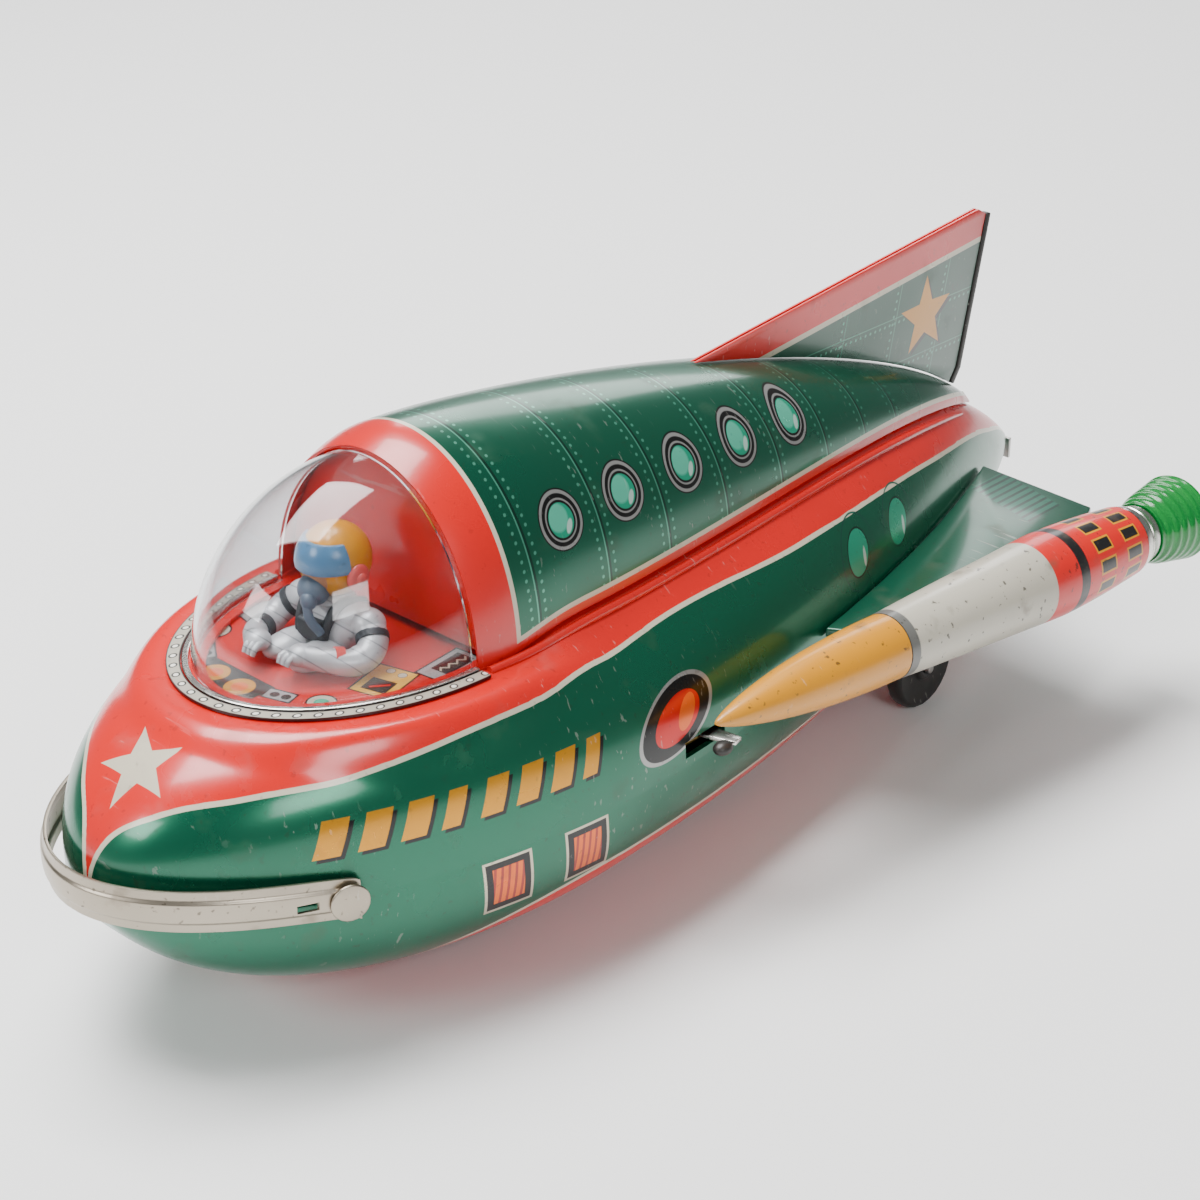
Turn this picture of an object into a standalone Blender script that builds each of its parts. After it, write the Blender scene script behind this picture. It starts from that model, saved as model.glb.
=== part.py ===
"""Tin space rocket: a battery driven toy of pressed tin, about 350 mm long.

The nose points along -Y, the left side is +X and the wheels stand on Z = 0.
Sizes are in millimetres. A station is a distance measured backwards from the tip of the hull.
"""

import math

import bmesh
import bpy
from mathutils import Matrix, Vector

MM = 0.001

# Driving dimensions
HULL_LENGTH = 346.0
MIDDLE = 170.3
HALF_BEAM = 59.0
WIDEST = 115.0
SEAM_Z = 44.5
BELLY_Z = 8.5
KEEL_DEPTH = 38.0
HULL_RISE = 44.0
TIN = 0.8
GAP = 0.3
TUCK = 1.3

# Bumper
BUMPER_REACH = 41.0
BUMPER_FRONT_GAP = 4.4
BUMPER_END_GAP = 1.6
BUMPER_END_Z = 38.0

# Cockpit and cabin
RING_REAR = 88.0
RING_HALF_WIDTH = 39.5
RING_LENGTH = 55.0
SHELF_Z = 78.2
CABIN_FRONT = 86.4
CABIN_SHOULDER = 98.0
CABIN_REAR = 322.0
CABIN_END = 325.0
CABIN_HALF_WIDTH = 36.5
CABIN_TOP = 65.5
CABIN_TAIL_Z = 60.0

# Running gear
PIVOT_STATION = 95.0
AXLE_STATION = 102.0
DRIVE_WHEEL_RADIUS = 11.5
REAR_AXLE_STATION = 257.5
REAR_WHEEL_RADIUS = 12.5
MODULE = 0.8
MESH_SLACK = 0.3

# Pods
POD_TIP = Vector((67.5, 131.0, 58.5))
POD_TAIL = Vector((75.2, 292.0, 51.7))

# Battery compartment
DOOR_FRONT = 146.6
DOOR_HINGE = 198.4
DOOR_HALF_WIDTH = 26.8

for old in list(bpy.data.objects):
    bpy.data.objects.remove(old)

rocket = bpy.data.collections.new("tin_space_rocket")
cutters = bpy.data.collections.new("cutters")
bpy.context.scene.collection.children.link(rocket)
bpy.context.scene.collection.children.link(cutters)


# ---------------------------------------------------------------- helpers

def place(x, station, z):
    """A point in metres from its offset to the left, its station and its height."""
    return Vector((x, station - MIDDLE, z)) * MM


def finish(name, colour, roughness, metallic):
    """A painted, plated or moulded finish."""
    material = bpy.data.materials.get(name)
    if material is None:
        material = bpy.data.materials.new(name)
        material.use_nodes = True
        shader = material.node_tree.nodes["Principled BSDF"]
        shader.inputs["Base Color"].default_value = (*colour, 1.0)
        shader.inputs["Roughness"].default_value = roughness
        shader.inputs["Metallic"].default_value = metallic
        material.diffuse_color = (*colour, 1.0)
    return material


GREEN_TIN = finish("green_tin", (0.01, 0.16, 0.09), 0.3, 0.4)
RED_TIN = finish("red_tin", (0.85, 0.07, 0.04), 0.35, 0.1)
CREAM_TIN = finish("cream_tin", (0.68, 0.64, 0.54), 0.4, 0.1)
YELLOW_TIN = finish("yellow_tin", (0.8, 0.42, 0.02), 0.35, 0.1)
NICKEL = finish("nickel", (0.52, 0.48, 0.42), 0.3, 1.0)
STEEL = finish("steel", (0.45, 0.45, 0.44), 0.4, 1.0)
BRASS = finish("brass", (0.7, 0.5, 0.2), 0.35, 1.0)
BLACK_TIN = finish("black_tin", (0.02, 0.02, 0.02), 0.35, 0.1)
RUBBER = finish("rubber", (0.012, 0.012, 0.012), 0.7, 0.0)
BLACK_PLASTIC = finish("black_plastic", (0.015, 0.015, 0.015), 0.45, 0.0)
CLEAR_PLASTIC = finish("clear_plastic", (0.85, 0.88, 0.88), 0.08, 0.0)
GREEN_PLASTIC = finish("green_plastic", (0.02, 0.3, 0.06), 0.15, 0.0)
GEAR_PLASTIC = finish("gear_plastic", (0.75, 0.73, 0.66), 0.5, 0.0)
SILVER_SUIT = finish("silver_suit", (0.55, 0.55, 0.54), 0.35, 0.5)
HELMET_YELLOW = finish("helmet_yellow", (0.85, 0.45, 0.02), 0.3, 0.0)
BATTERY_JACKET = finish("battery_jacket", (0.05, 0.12, 0.3), 0.4, 0.2)
LAMP_GLASS = finish("lamp_glass", (0.9, 0.88, 0.8), 0.05, 0.0)


def add(name, mesh, material, collection=rocket):
    """Links a mesh or curve to its collection as a named object."""
    thing = bpy.data.objects.new(name, mesh)
    collection.objects.link(thing)
    if material is not None:
        mesh.materials.append(material)
    return thing


def smooth(thing, degrees=35):
    """Rounds the shading and keeps edges sharper than the given angle."""
    for face in thing.data.polygons:
        face.use_smooth = True
    thing.data.set_sharp_from_angle(angle=math.radians(degrees))


def loft(name, sections, material, close_first=False, close_last=False):
    """A skin stretched over a row of sections that have the same number of points."""
    shape = bmesh.new()
    rows = [[shape.verts.new(point) for point in section] for section in sections]
    for near, far in zip(rows, rows[1:]):
        for k in range(len(near) - 1):
            shape.faces.new((near[k], near[k + 1], far[k + 1], far[k]))
    if close_first:
        shape.faces.new(list(reversed(rows[0])))
    if close_last:
        shape.faces.new(rows[-1])
    mesh = bpy.data.meshes.new(name)
    shape.to_mesh(mesh)
    shape.free()
    return add(name, mesh, material)


def thicken(thing, thickness=TIN, offset=-1.0):
    """Gives an open skin its wall."""
    wall = thing.modifiers.new("wall", "SOLIDIFY")
    wall.thickness = thickness * MM
    wall.offset = offset


def cut(thing, cutter, operation="DIFFERENCE"):
    """Cuts a cutter out of a piece, or joins another solid to it."""
    boolean = thing.modifiers.new(operation.lower(), "BOOLEAN")
    boolean.operation = operation
    boolean.solver = "EXACT"
    boolean.object = cutter


def as_cutter(thing):
    """Hides a solid that only cuts or joins."""
    for home in list(thing.users_collection):
        home.objects.unlink(thing)
    cutters.objects.link(thing)
    thing.hide_render = True
    thing.display_type = "WIRE"
    return thing


def box(name, low, high, material):
    """A box between two corners, each given as x, station, z."""
    near, far = place(*low), place(*high)
    mesh = bpy.data.meshes.new(name)
    shape = bmesh.new()
    bmesh.ops.create_cube(shape, size=1.0, matrix=Matrix.Diagonal((*(far - near), 1.0)))
    shape.to_mesh(mesh)
    shape.free()
    thing = add(name, mesh, material)
    thing.location = (near + far) / 2
    return thing


def rod(name, centre, radius, length, direction, material, sides=24):
    """A cylinder centred on a point, along a direction."""
    mesh = bpy.data.meshes.new(name)
    shape = bmesh.new()
    bmesh.ops.create_cone(shape, cap_ends=True, segments=sides, radius1=radius * MM,
                          radius2=radius * MM, depth=length * MM)
    shape.to_mesh(mesh)
    shape.free()
    thing = add(name, mesh, material)
    thing.location = place(*centre)
    thing.rotation_mode = "QUATERNION"
    thing.rotation_quaternion = Vector(direction).to_track_quat("Z", "Y")
    return thing


def turned(name, profile, base, direction, material, sides=18):
    """A turned piece: profile points are radius and distance along the direction from the base."""
    closed = profile[0] == profile[-1]
    shape = bmesh.new()
    points = [shape.verts.new((radius * MM, 0, along * MM)) for radius, along in profile[:-1 if closed else None]]
    for first, second in zip(points, points[1:] + points[:1] if closed else points[1:]):
        shape.edges.new((first, second))
    mesh = bpy.data.meshes.new(name)
    shape.to_mesh(mesh)
    shape.free()
    thing = add(name, mesh, material)
    thing.location = place(*base)
    thing.rotation_mode = "QUATERNION"
    thing.rotation_quaternion = Vector(direction).to_track_quat("Z", "Y")
    screw = thing.modifiers.new("turn", "SCREW")
    screw.steps = sides
    screw.render_steps = sides
    screw.use_merge_vertices = True
    screw.merge_threshold = 0.00001
    screw.use_smooth_shade = True
    return thing


def sheet(name, outlines, thickness, material):
    """A flat sheet cut to closed outlines of 2D points in millimetres; inner outlines are holes."""
    curve = bpy.data.curves.new(name, "CURVE")
    curve.dimensions = "2D"
    curve.fill_mode = "BOTH"
    curve.extrude = thickness * MM / 2
    for outline in outlines:
        spline = curve.splines.new("POLY")
        spline.points.add(len(outline) - 1)
        for point, (u, v) in zip(spline.points, outline):
            point.co = (u * MM, v * MM, 0, 1)
        spline.use_cyclic_u = True
    return add(name, curve, material)


def circle(radius, sides=24, u=0.0, v=0.0):
    """Points of a circle."""
    turn = 2 * math.pi / sides
    return [(u + radius * math.cos(turn * k), v + radius * math.sin(turn * k)) for k in range(sides)]


def as_mesh(thing):
    """Turns a curve into a welded mesh object of the same name, place and finish."""
    bpy.context.view_layer.update()
    name = thing.name
    material = thing.data.materials[0]
    evaluated = thing.evaluated_get(bpy.context.evaluated_depsgraph_get())
    mesh = bpy.data.meshes.new_from_object(evaluated)
    shape = bmesh.new()
    shape.from_mesh(mesh)
    bmesh.ops.remove_doubles(shape, verts=shape.verts, dist=0.00001)
    shape.to_mesh(mesh)
    shape.free()
    matrix = thing.matrix_world.copy()
    bpy.data.objects.remove(thing)
    mesh.materials.clear()
    solid = add(name, mesh, material)
    solid.matrix_world = matrix
    return solid


def lay_flat(thing, station=MIDDLE, z=0.0):
    """Places a sheet whose outline is x and station, at a height."""
    thing.location = place(0, station, z)


def stand_across(thing, station):
    """Stands a sheet whose outline is x and z across the hull at a station."""
    thing.location = place(0, station, 0)
    thing.rotation_euler = (math.pi / 2, 0, 0)


def stand_along(thing, x):
    """Stands a sheet whose outline is station and z along the hull at an offset."""
    thing.matrix_world = Matrix(((0, 0, 1, x * MM), (1, 0, 0, -MIDDLE * MM), (0, 1, 0, 0), (0, 0, 0, 1)))


def fullness(t, p, q):
    """Falls from 1 at t = 0 to 0 at t = 1; p sets how late it falls and q how blunt its end is."""
    return max(0.0, 1.0 - t ** p) ** (1.0 / q)


def nose_part(station):
    return (WIDEST - station) / WIDEST


def tail_part(station):
    return (station - WIDEST) / (HULL_LENGTH - WIDEST)


def beam(station):
    """Half width of the hull at its seam."""
    if station < WIDEST:
        return HALF_BEAM * fullness(nose_part(station), 1.7, 1.95)
    return HALF_BEAM * fullness(tail_part(station), 1.75, 1.2)


def rise(station):
    """Height of the upper hull's crown above the seam."""
    if station < WIDEST:
        return HULL_RISE * fullness(nose_part(station), 2.3, 2.3)
    return HULL_RISE * fullness(tail_part(station), 4.6, 1.05)


def depth(station):
    """Depth of the lower hull below the seam."""
    if station < WIDEST:
        return KEEL_DEPTH * fullness(nose_part(station), 3.3, 1.7)
    return KEEL_DEPTH * fullness(tail_part(station), 2.6, 1.5)


def ring_distance(x, station, inset=0.0):
    """Distance outside the outline of the deck ring, roughly, negative inside it."""
    half_width = RING_HALF_WIDTH - inset
    length = RING_LENGTH - inset
    ahead = max(0.0, RING_REAR - station)
    reach = math.hypot(x / half_width, ahead / length)
    if reach == 0.0:
        return -half_width
    return (reach - 1.0) * math.hypot(x, ahead) / reach


def boxiness(station, middle, nose):
    """Power of the hull's section curve: higher is boxier, and the nose is the boxiest."""
    return middle + (nose - middle) * math.sqrt(max(0.0, nose_part(station)))


def hull_top(x, station):
    """Height of the upper hull's outer skin, with the pressed shelf round the cockpit."""
    half = beam(station)
    across = min(1.0, abs(x) / half)
    power = boxiness(station, 2.0, 2.9)
    z = SEAM_Z + rise(station) * (1.0 - across ** power) ** (1.0 / power)
    away = max(0.0, ring_distance(x, station) - 4.0) / 8.0
    shelf = max(0.0, 1.0 - away) ** 2 * (3.0 - 2.0 * max(0.0, 1.0 - away))
    shelf *= min(1.0, max(0.0, (116.0 - station) / 20.0))
    return z + (SHELF_Z - z) * shelf if z > SEAM_Z + 12.0 else z


def cabin_part(station):
    return max(0.0, (station - CABIN_SHOULDER) / (CABIN_END - CABIN_SHOULDER))


def cabin_half_width(station):
    """Half width of the cabin at its foot."""
    if station < CABIN_SHOULDER:
        lean = (CABIN_SHOULDER - station) / (CABIN_SHOULDER - CABIN_FRONT)
        return CABIN_HALF_WIDTH - 1.6 * lean ** 2
    return CABIN_HALF_WIDTH * fullness(cabin_part(station), 1.6, 1.5)


def cabin_crown(station):
    """Height of the cabin's roof line."""
    if station < CABIN_SHOULDER:
        lean = (CABIN_SHOULDER - station) / (CABIN_SHOULDER - CABIN_FRONT)
        return CABIN_TAIL_Z + CABIN_TOP - 3.0 * lean ** 2
    return CABIN_TAIL_Z + CABIN_TOP * fullness(cabin_part(station), 1.4, 1.5)


def cabin_foot(station):
    """Height of the cabin's lower edge, which follows the hull."""
    return hull_top(cabin_half_width(station) - 1.4, station) + 2 * GAP


def spread(first, last, count, bunch=1.0):
    """Stations from first to last; a bunch above 1 packs them closer at the first end."""
    return [first + (last - first) * (k / (count - 1)) ** bunch for k in range(count)]


def ring_outline(inset, rear, count=24):
    """The cockpit outline, open at the rear: points from the right rear round the nose to the left rear."""
    half_width = RING_HALF_WIDTH - inset
    length = RING_LENGTH - inset
    first = math.asin(max(0.0, RING_REAR - rear) / length)
    points = []
    for k in range(count + 1):
        turn = first + (math.pi - 2 * first) * k / count
        points.append((-half_width * math.cos(turn), RING_REAR - length * math.sin(turn)))
    if rear > RING_REAR:
        points = [(-half_width, rear)] + points + [(half_width, rear)]
    return points


# ---------------------------------------------------------------- hull

HULL_STATIONS = [0.6, 2.2, 5.0, 9.0, 14.0, 21.0] + spread(30.0, 90.0, 6) + spread(96.0, 120.0, 4) + spread(134.0, 326.0, 9) + [336.0, 343.5]


def upper_hull():
    """Upper half of the hull: one pressing, open under the cockpit and the cabin."""
    columns = 16
    sections = []
    for station in HULL_STATIONS:
        half = beam(station)
        section = [place(-half, station, SEAM_Z - 1.5)]
        for k in range(columns + 1):
            x = half * math.sin(math.pi * (k / columns - 0.5))
            section.append(place(x, station, hull_top(x, station)))
        section.append(place(half, station, SEAM_Z - 1.5))
        sections.append(section)
    hull = loft("upper_hull", sections, GREEN_TIN, close_first=True, close_last=True)
    thicken(hull)
    inset = 9.0
    outline = ring_outline(inset, RING_REAR + 2.0, 25)
    cabin = [(cabin_half_width(station) - 5.0, station) for station in spread(100.0, 292.0, 12)]
    outline += cabin + [(-x, station) for x, station in reversed(cabin)]
    opening = sheet("opening_cutter", [outline], 60.0, None)
    lay_flat(opening, station=0.0, z=SEAM_Z + 10.0 + 30.0)
    cut(hull, as_cutter(mesh_of_cutter(opening)))
    slot = box("lever_slot_cutter", (46.0, 131.5, 45.2), (66.0, 147.0, 49.4), None)
    cut(hull, as_cutter(slot))
    smooth(hull, 50)
    return hull


def mesh_of_cutter(thing):
    """Turns a curve cutter, which has no finish, into a mesh."""
    thing.data.materials.append(STEEL)
    return as_mesh(thing)


def tucked(station):
    """Half width and station of the lower hull's edge, inside the upper hull's edge by the tuck."""
    reach = 0.2
    slope = (beam(station + reach) - beam(station - reach)) / (2 * reach)
    lean = math.hypot(1.0, slope)
    return beam(station) - TUCK / lean, station + TUCK * slope / lean


def lower_hull():
    """Lower half of the hull, tucked inside the upper half, with a flat belly."""
    columns = 12
    sections = []
    for mark in HULL_STATIONS:
        half, station = tucked(mark)
        power = boxiness(mark, 2.7, 3.2)
        lip = SEAM_Z + min(1.8, 0.4 * rise(mark))
        section = [place(half - 0.1, station, lip)]
        for k in range(columns + 1):
            turn = math.pi * k / columns
            c, s = math.cos(turn), math.sin(turn)
            x = half * math.copysign(abs(c) ** (2 / power), c)
            z = SEAM_Z - depth(station) * abs(s) ** (2 / power)
            section.append(place(x, station, max(z, BELLY_Z)))
        section.append(place(-half + 0.1, station, lip))
        sections.append(section)
    hull = loft("lower_hull", sections, GREEN_TIN, close_first=True, close_last=True)
    thicken(hull)
    cut(hull, as_cutter(rod("turntable_cutter", (0, PIVOT_STATION, 10.0), 27.0, 20.0, (0, 0, 1), None, 40)))
    door_hole = box("door_cutter", (-27.5, DOOR_FRONT - 0.6, 0.0), (27.5, DOOR_HINGE + 1.6, 16.0), None)
    cut(hull, as_cutter(door_hole))
    notch = box("lever_notch_cutter", (44.0, 131.5, 44.6), (66.0, 147.0, 52.0), None)
    cut(hull, as_cutter(notch))
    smooth(hull, 50)
    return hull


def cockpit_deck():
    """Printed cockpit floor under the edge of the opening."""
    outline = ring_outline(6.0, 97.0, 20)
    deck = sheet("cockpit_deck", [outline], TIN, RED_TIN)
    lay_flat(deck, station=0.0, z=SHELF_Z - TIN - GAP - TIN / 2)
    return deck


def flat_band(name, outer, inner, rear, z, thickness, material):
    """A flat band that follows the cockpit outline, open at the rear."""
    band = ring_outline(outer, rear, 28) + list(reversed(ring_outline(inner, rear, 28)))
    thing = sheet(name, [band], thickness, material)
    lay_flat(thing, station=0.0, z=z)
    return thing


def bumper_path(share):
    """Offset and station of the bumper strip; a share of 0 is its middle and of 1 its left end."""
    mark = 0.06 + BUMPER_REACH * abs(share) ** 2.2
    away = BUMPER_FRONT_GAP - (BUMPER_FRONT_GAP - BUMPER_END_GAP) * mark / BUMPER_REACH
    reach = 0.05
    slope = (beam(mark + reach) - beam(mark - reach)) / (2 * reach)
    lean = math.hypot(1.0, slope)
    return math.copysign(beam(mark) + away / lean, share), mark - away * slope / lean


def bumper():
    """Nickelled strip round the nose, pressed with a shallow channel."""
    steps = 24
    heights = (0.0, 1.2, 2.4, 7.8, 9.0, 10.2)
    sections = []
    for height in heights:
        section = []
        for k in range(steps + 1):
            share = -1.0 + 2.0 * k / steps
            x, station = bumper_path(share)
            edge = BUMPER_END_Z + 4.4 * math.sqrt(1.0 - share ** 2)
            bulge = 0.8 * math.cos(share * 1.4) if 2.0 < height < 8.0 else 0.0
            swell = 1.0 + bulge / BUMPER_REACH
            section.append(place(x * swell, BUMPER_REACH + (station - BUMPER_REACH) * swell, edge + height))
        sections.append(section)
    strip = loft("bumper", sections, NICKEL)
    thicken(strip, 0.6, 1.0)
    smooth(strip, 40)
    return strip


def bumper_tabs():
    """Round ended tabs of the hull, folded over the ends of the bumper."""
    x, station = bumper_path(0.97)
    near_x, near_station = bumper_path(0.93)
    for side, word in ((1, "left"), (-1, "right")):
        outward = Vector((side * (station - near_station), near_x - x, 0)).normalized()
        centre = Vector((side * x, station, BUMPER_END_Z + 6.0)) + outward * 1.6
        tab = rod(f"bumper_tab_{word}", centre, 4.6, 0.8, outward, NICKEL, 24)
        smooth(tab)


# ---------------------------------------------------------------- cabin, dome and fin

def cabin_fuselage():
    """Arched cabin shell with a rounded front shoulder, open below and in front."""
    columns = 16
    stations = [CABIN_FRONT, 89.0, 93.0, CABIN_SHOULDER] + spread(110.0, 298.0, 11) + [308.0, 315.0, CABIN_REAR]
    sections = []
    for station in stations:
        half = cabin_half_width(station)
        foot = cabin_foot(station)
        crown = cabin_crown(station)
        section = []
        for k in range(columns + 1):
            turn = math.pi * k / columns
            section.append(place(-half * math.cos(turn), station, foot + (crown - foot) * math.sin(turn)))
        sections.append(section)
    cabin = loft("cabin_fuselage", sections, GREEN_TIN, close_last=True)
    thicken(cabin)
    smooth(cabin, 50)
    return cabin


def cabin_bulkhead():
    """Wall behind the pilot, inside the cabin's front."""
    station = 92.0
    half = cabin_half_width(station) - TIN - 0.8
    foot = SHELF_Z + 4 * GAP
    crown = cabin_crown(station) - TIN - 1.0
    outline = [(-half, foot), (half, foot)]
    outline += [(half * math.cos(turn), foot + (crown - foot) * math.sin(turn))
                for turn in (math.pi * k / 20 for k in range(1, 20))]
    wall = sheet("cabin_bulkhead", [outline], TIN, RED_TIN)
    stand_across(wall, station)
    return wall


def canopy_dome():
    """Clear plastic dome over the cockpit."""
    inset = 6.0
    half_width = RING_HALF_WIDTH - inset
    length = RING_LENGTH - inset
    foot = SHELF_Z + GAP
    crown = cabin_crown(CABIN_FRONT) - 1.0 - foot
    rows, columns = 8, 20
    sections = []
    for row in range(rows):
        lift = math.pi / 2 * (row / rows) ** 0.9
        section = []
        for k in range(columns + 1):
            turn = math.pi * k / columns
            reach = math.cos(lift)
            x = -half_width * math.cos(turn) * reach
            station = RING_REAR - 2.0 - (length - 2.0) * math.sin(turn) * reach
            section.append(place(x, station, foot + crown * math.sin(lift)))
        sections.append(section)
    dome = loft("canopy_dome", sections, CLEAR_PLASTIC)
    peak = place(0, RING_REAR - 2.0, foot + crown)
    close_crown(dome, sections[-1], peak)
    thicken(dome, 1.0)
    smooth(dome, 60)
    return dome


def close_crown(thing, last, peak):
    """Fans the last row of a dome to its peak."""
    shape = bmesh.new()
    shape.from_mesh(thing.data)
    shape.verts.ensure_lookup_table()
    first = len(shape.verts) - len(last)
    row = [shape.verts[first + k] for k in range(len(last))]
    top = shape.verts.new(peak)
    for near, far in zip(row, row[1:]):
        shape.faces.new((near, far, top))
    shape.to_mesh(thing.data)
    shape.free()


def tail_fin():
    """Two fin pressings back to back, with a dark folded edge at the rear."""
    root = [(station, cabin_crown(station) + GAP + 0.2) for station in spread(199.0, 313.0, 9)]
    top = [(326.0, 120.3), (322.5, 122.3), (318.0, 121.9)]
    outline = root + [(316.0, 76.0)] + top
    for side, word in ((1, "left"), (-1, "right")):
        half = sheet(f"tail_fin_{word}", [outline], 0.9, GREEN_TIN)
        stand_along(half, side * 0.65)
    edge = [(313.6, 71.9), (316.4, 75.9), (326.4, 120.4), (328.4, 119.9), (318.4, 75.0), (315.4, 70.6)]
    stand_along(sheet("fin_edge", [edge], 2.6, BLACK_TIN), 0.0)


# ---------------------------------------------------------------- pods and wings

def pods():
    """Side pods: nose, barrel, nickel ring, lamp and ribbed nozzle on one axis."""
    for side, word in ((1, "left"), (-1, "right")):
        tip = Vector((side * POD_TIP.x, POD_TIP.y, POD_TIP.z))
        tail = Vector((side * POD_TAIL.x, POD_TAIL.y, POD_TAIL.z))
        axis = (tail - tip).normalized()
        nose_length = 62.0
        ogive = [(8.6 * math.sin(math.pi / 2 * (k / 7) ** 0.8) ** 0.85, nose_length * (k / 7) ** 1.1)
                 for k in range(1, 8)]
        nose = turned(f"pod_nose_{word}", [(0.0, 0.0)] + ogive, tip, axis, YELLOW_TIN)
        thicken(nose, TIN, 1.0)
        start = nose_length + GAP
        swell = [(8.7, start), (9.9, 85.0), (11.0, 110.0), (11.6, 122.0), (11.8, 130.0), (11.2, 145.0), (10.0, 161.0)]
        barrel = turned(f"pod_barrel_{word}", swell, tip, axis, CREAM_TIN)
        thicken(barrel, TIN, 1.0)
        ring = [(8.2, 161.6), (9.7, 161.6), (9.7, 169.0), (8.2, 169.0), (8.2, 161.6)]
        turned(f"pod_ring_{word}", list(reversed(ring)), tip, axis, NICKEL)
        flare = [(8.6, 169.6), (9.2, 172.0), (10.4, 176.0), (11.2, 181.0), (12.2, 187.0)]
        nozzle = turned(f"pod_nozzle_{word}", flare, tip, axis, GREEN_PLASTIC)
        thicken(nozzle, 1.2, 1.0)
        lamp = [(0.0, 160.0), (4.2, 160.0), (4.2, 169.0), (4.8, 172.0), (4.0, 175.5), (2.0, 177.5), (0.0, 178.0)]
        turned(f"pod_lamp_{word}", list(reversed(lamp)), tip, axis, LAMP_GLASS, 20)
        holder = [(4.6, 157.0), (8.8, 157.0), (8.8, 158.2), (5.4, 158.2), (5.4, 167.0), (4.6, 167.0), (4.6, 157.0)]
        turned(f"pod_lamp_holder_{word}", list(reversed(holder)), tip, axis, BRASS, 20)


def pod_reach(station):
    """Offset of the pod's inner side at a station."""
    share = (station - POD_TIP.y) / (POD_TAIL.y - POD_TIP.y)
    centre = POD_TIP.x + (POD_TAIL.x - POD_TIP.x) * share
    along = (station - POD_TIP.y)
    radius = 8.7 + 3.1 * min(1.0, max(0.0, (along - 62.0) / 66.0)) - 1.8 * max(0.0, (along - 130.0) / 31.0)
    return centre - radius


def wings():
    """Stub wings between the hull and the pods."""
    height = 53.0
    thickness = 2.6
    outer = [(pod_reach(station) - 0.5, station) for station in spread(199.0, 290.0, 7)]
    outer.append((60.0, 301.0))
    inner = []
    for station in spread(304.0, 193.0, 12):
        level = (height - thickness / 2 - SEAM_Z) / rise(station)
        inner.append((beam(station) * math.sqrt(1.0 - level ** 2) + 0.5, station))
    for side, word in ((1, "left"), (-1, "right")):
        outline = [(side * x, station) for x, station in outer + inner]
        wing = sheet(f"wing_{word}", [outline], thickness, GREEN_TIN)
        lay_flat(wing, station=0.0, z=height)


# ---------------------------------------------------------------- pilot

def ball(name, centre, radii, material, segments=16):
    """A rounded form with three half widths."""
    mesh = bpy.data.meshes.new(name)
    shape = bmesh.new()
    stretch = Matrix.Diagonal((radii[0] * MM, radii[1] * MM, radii[2] * MM, 1.0))
    bmesh.ops.create_uvsphere(shape, u_segments=segments, v_segments=10, radius=1.0, matrix=stretch)
    shape.to_mesh(mesh)
    shape.free()
    thing = add(name, mesh, material)
    thing.location = place(*centre)
    smooth(thing, 60)
    return thing


def pilot():
    """The seated pilot: a torso, a helmet and two arms that rest forward."""
    floor = SHELF_Z - GAP - TIN
    torso = ball("pilot_torso", (0, 74.0, floor + 3.2), (11.0, 8.0, 9.0), SILVER_SUIT)
    keep = box("torso_floor_cutter", (-30, 40, floor - 20), (30, 100, floor + 0.3), None)
    cut(torso, as_cutter(keep))
    ball("pilot_helmet", (0, 74.5, floor + 21.8), (8.4, 9.0, 9.0), HELMET_YELLOW)
    for side, word in ((1, "left"), (-1, "right")):
        shoulder = Vector((side * 14.4, 74.0, floor + 8.0))
        elbow = Vector((side * 15.5, 66.0, floor + 4.0))
        hand = Vector((side * 6.0, 56.5, floor + 6.0))
        curve = bpy.data.curves.new(f"pilot_arm_{word}", "CURVE")
        curve.dimensions = "3D"
        curve.bevel_depth = 3.0 * MM
        curve.bevel_resolution = 2
        curve.use_fill_caps = True
        spline = curve.splines.new("POLY")
        bends = [shoulder, elbow.lerp(shoulder, 0.3), elbow, elbow.lerp(hand, 0.3), hand]
        spline.points.add(len(bends) - 1)
        for point, spot in zip(spline.points, bends):
            point.co = (*place(*spot), 1)
        add(f"pilot_arm_{word}", curve, SILVER_SUIT)


# ---------------------------------------------------------------- running gear

def gear_outline(teeth, turn=0.0):
    """Outline of a spur gear with slim straight sided teeth."""
    pitch = MODULE * teeth / 2
    step = 2 * math.pi / teeth
    points = []
    for k in range(teeth):
        middle = turn + k * step
        for radius, share in ((pitch - MODULE, -0.24), (pitch + 0.75 * MODULE, -0.1),
                              (pitch + 0.75 * MODULE, 0.1), (pitch - MODULE, 0.24)):
            angle = middle + share * step
            points.append((radius * math.cos(angle), radius * math.sin(angle)))
    return points


def spur_gear(name, teeth, bore, width, centre, turn, material):
    """A gear across the hull: its outline lies in station and height."""
    gear = sheet(name, [gear_outline(teeth, turn), circle(bore, 16)], width, material)
    x, station, z = centre
    gear.matrix_world = Matrix(((0, 0, 1, x * MM), (1, 0, 0, (station - MIDDLE) * MM),
                                (0, 1, 0, z * MM), (0, 0, 0, 1)))
    return gear


def mesh_angle(first, second):
    """Direction from one shaft to another in station and height."""
    return math.atan2(second[1] - first[1], second[0] - first[0])


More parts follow.
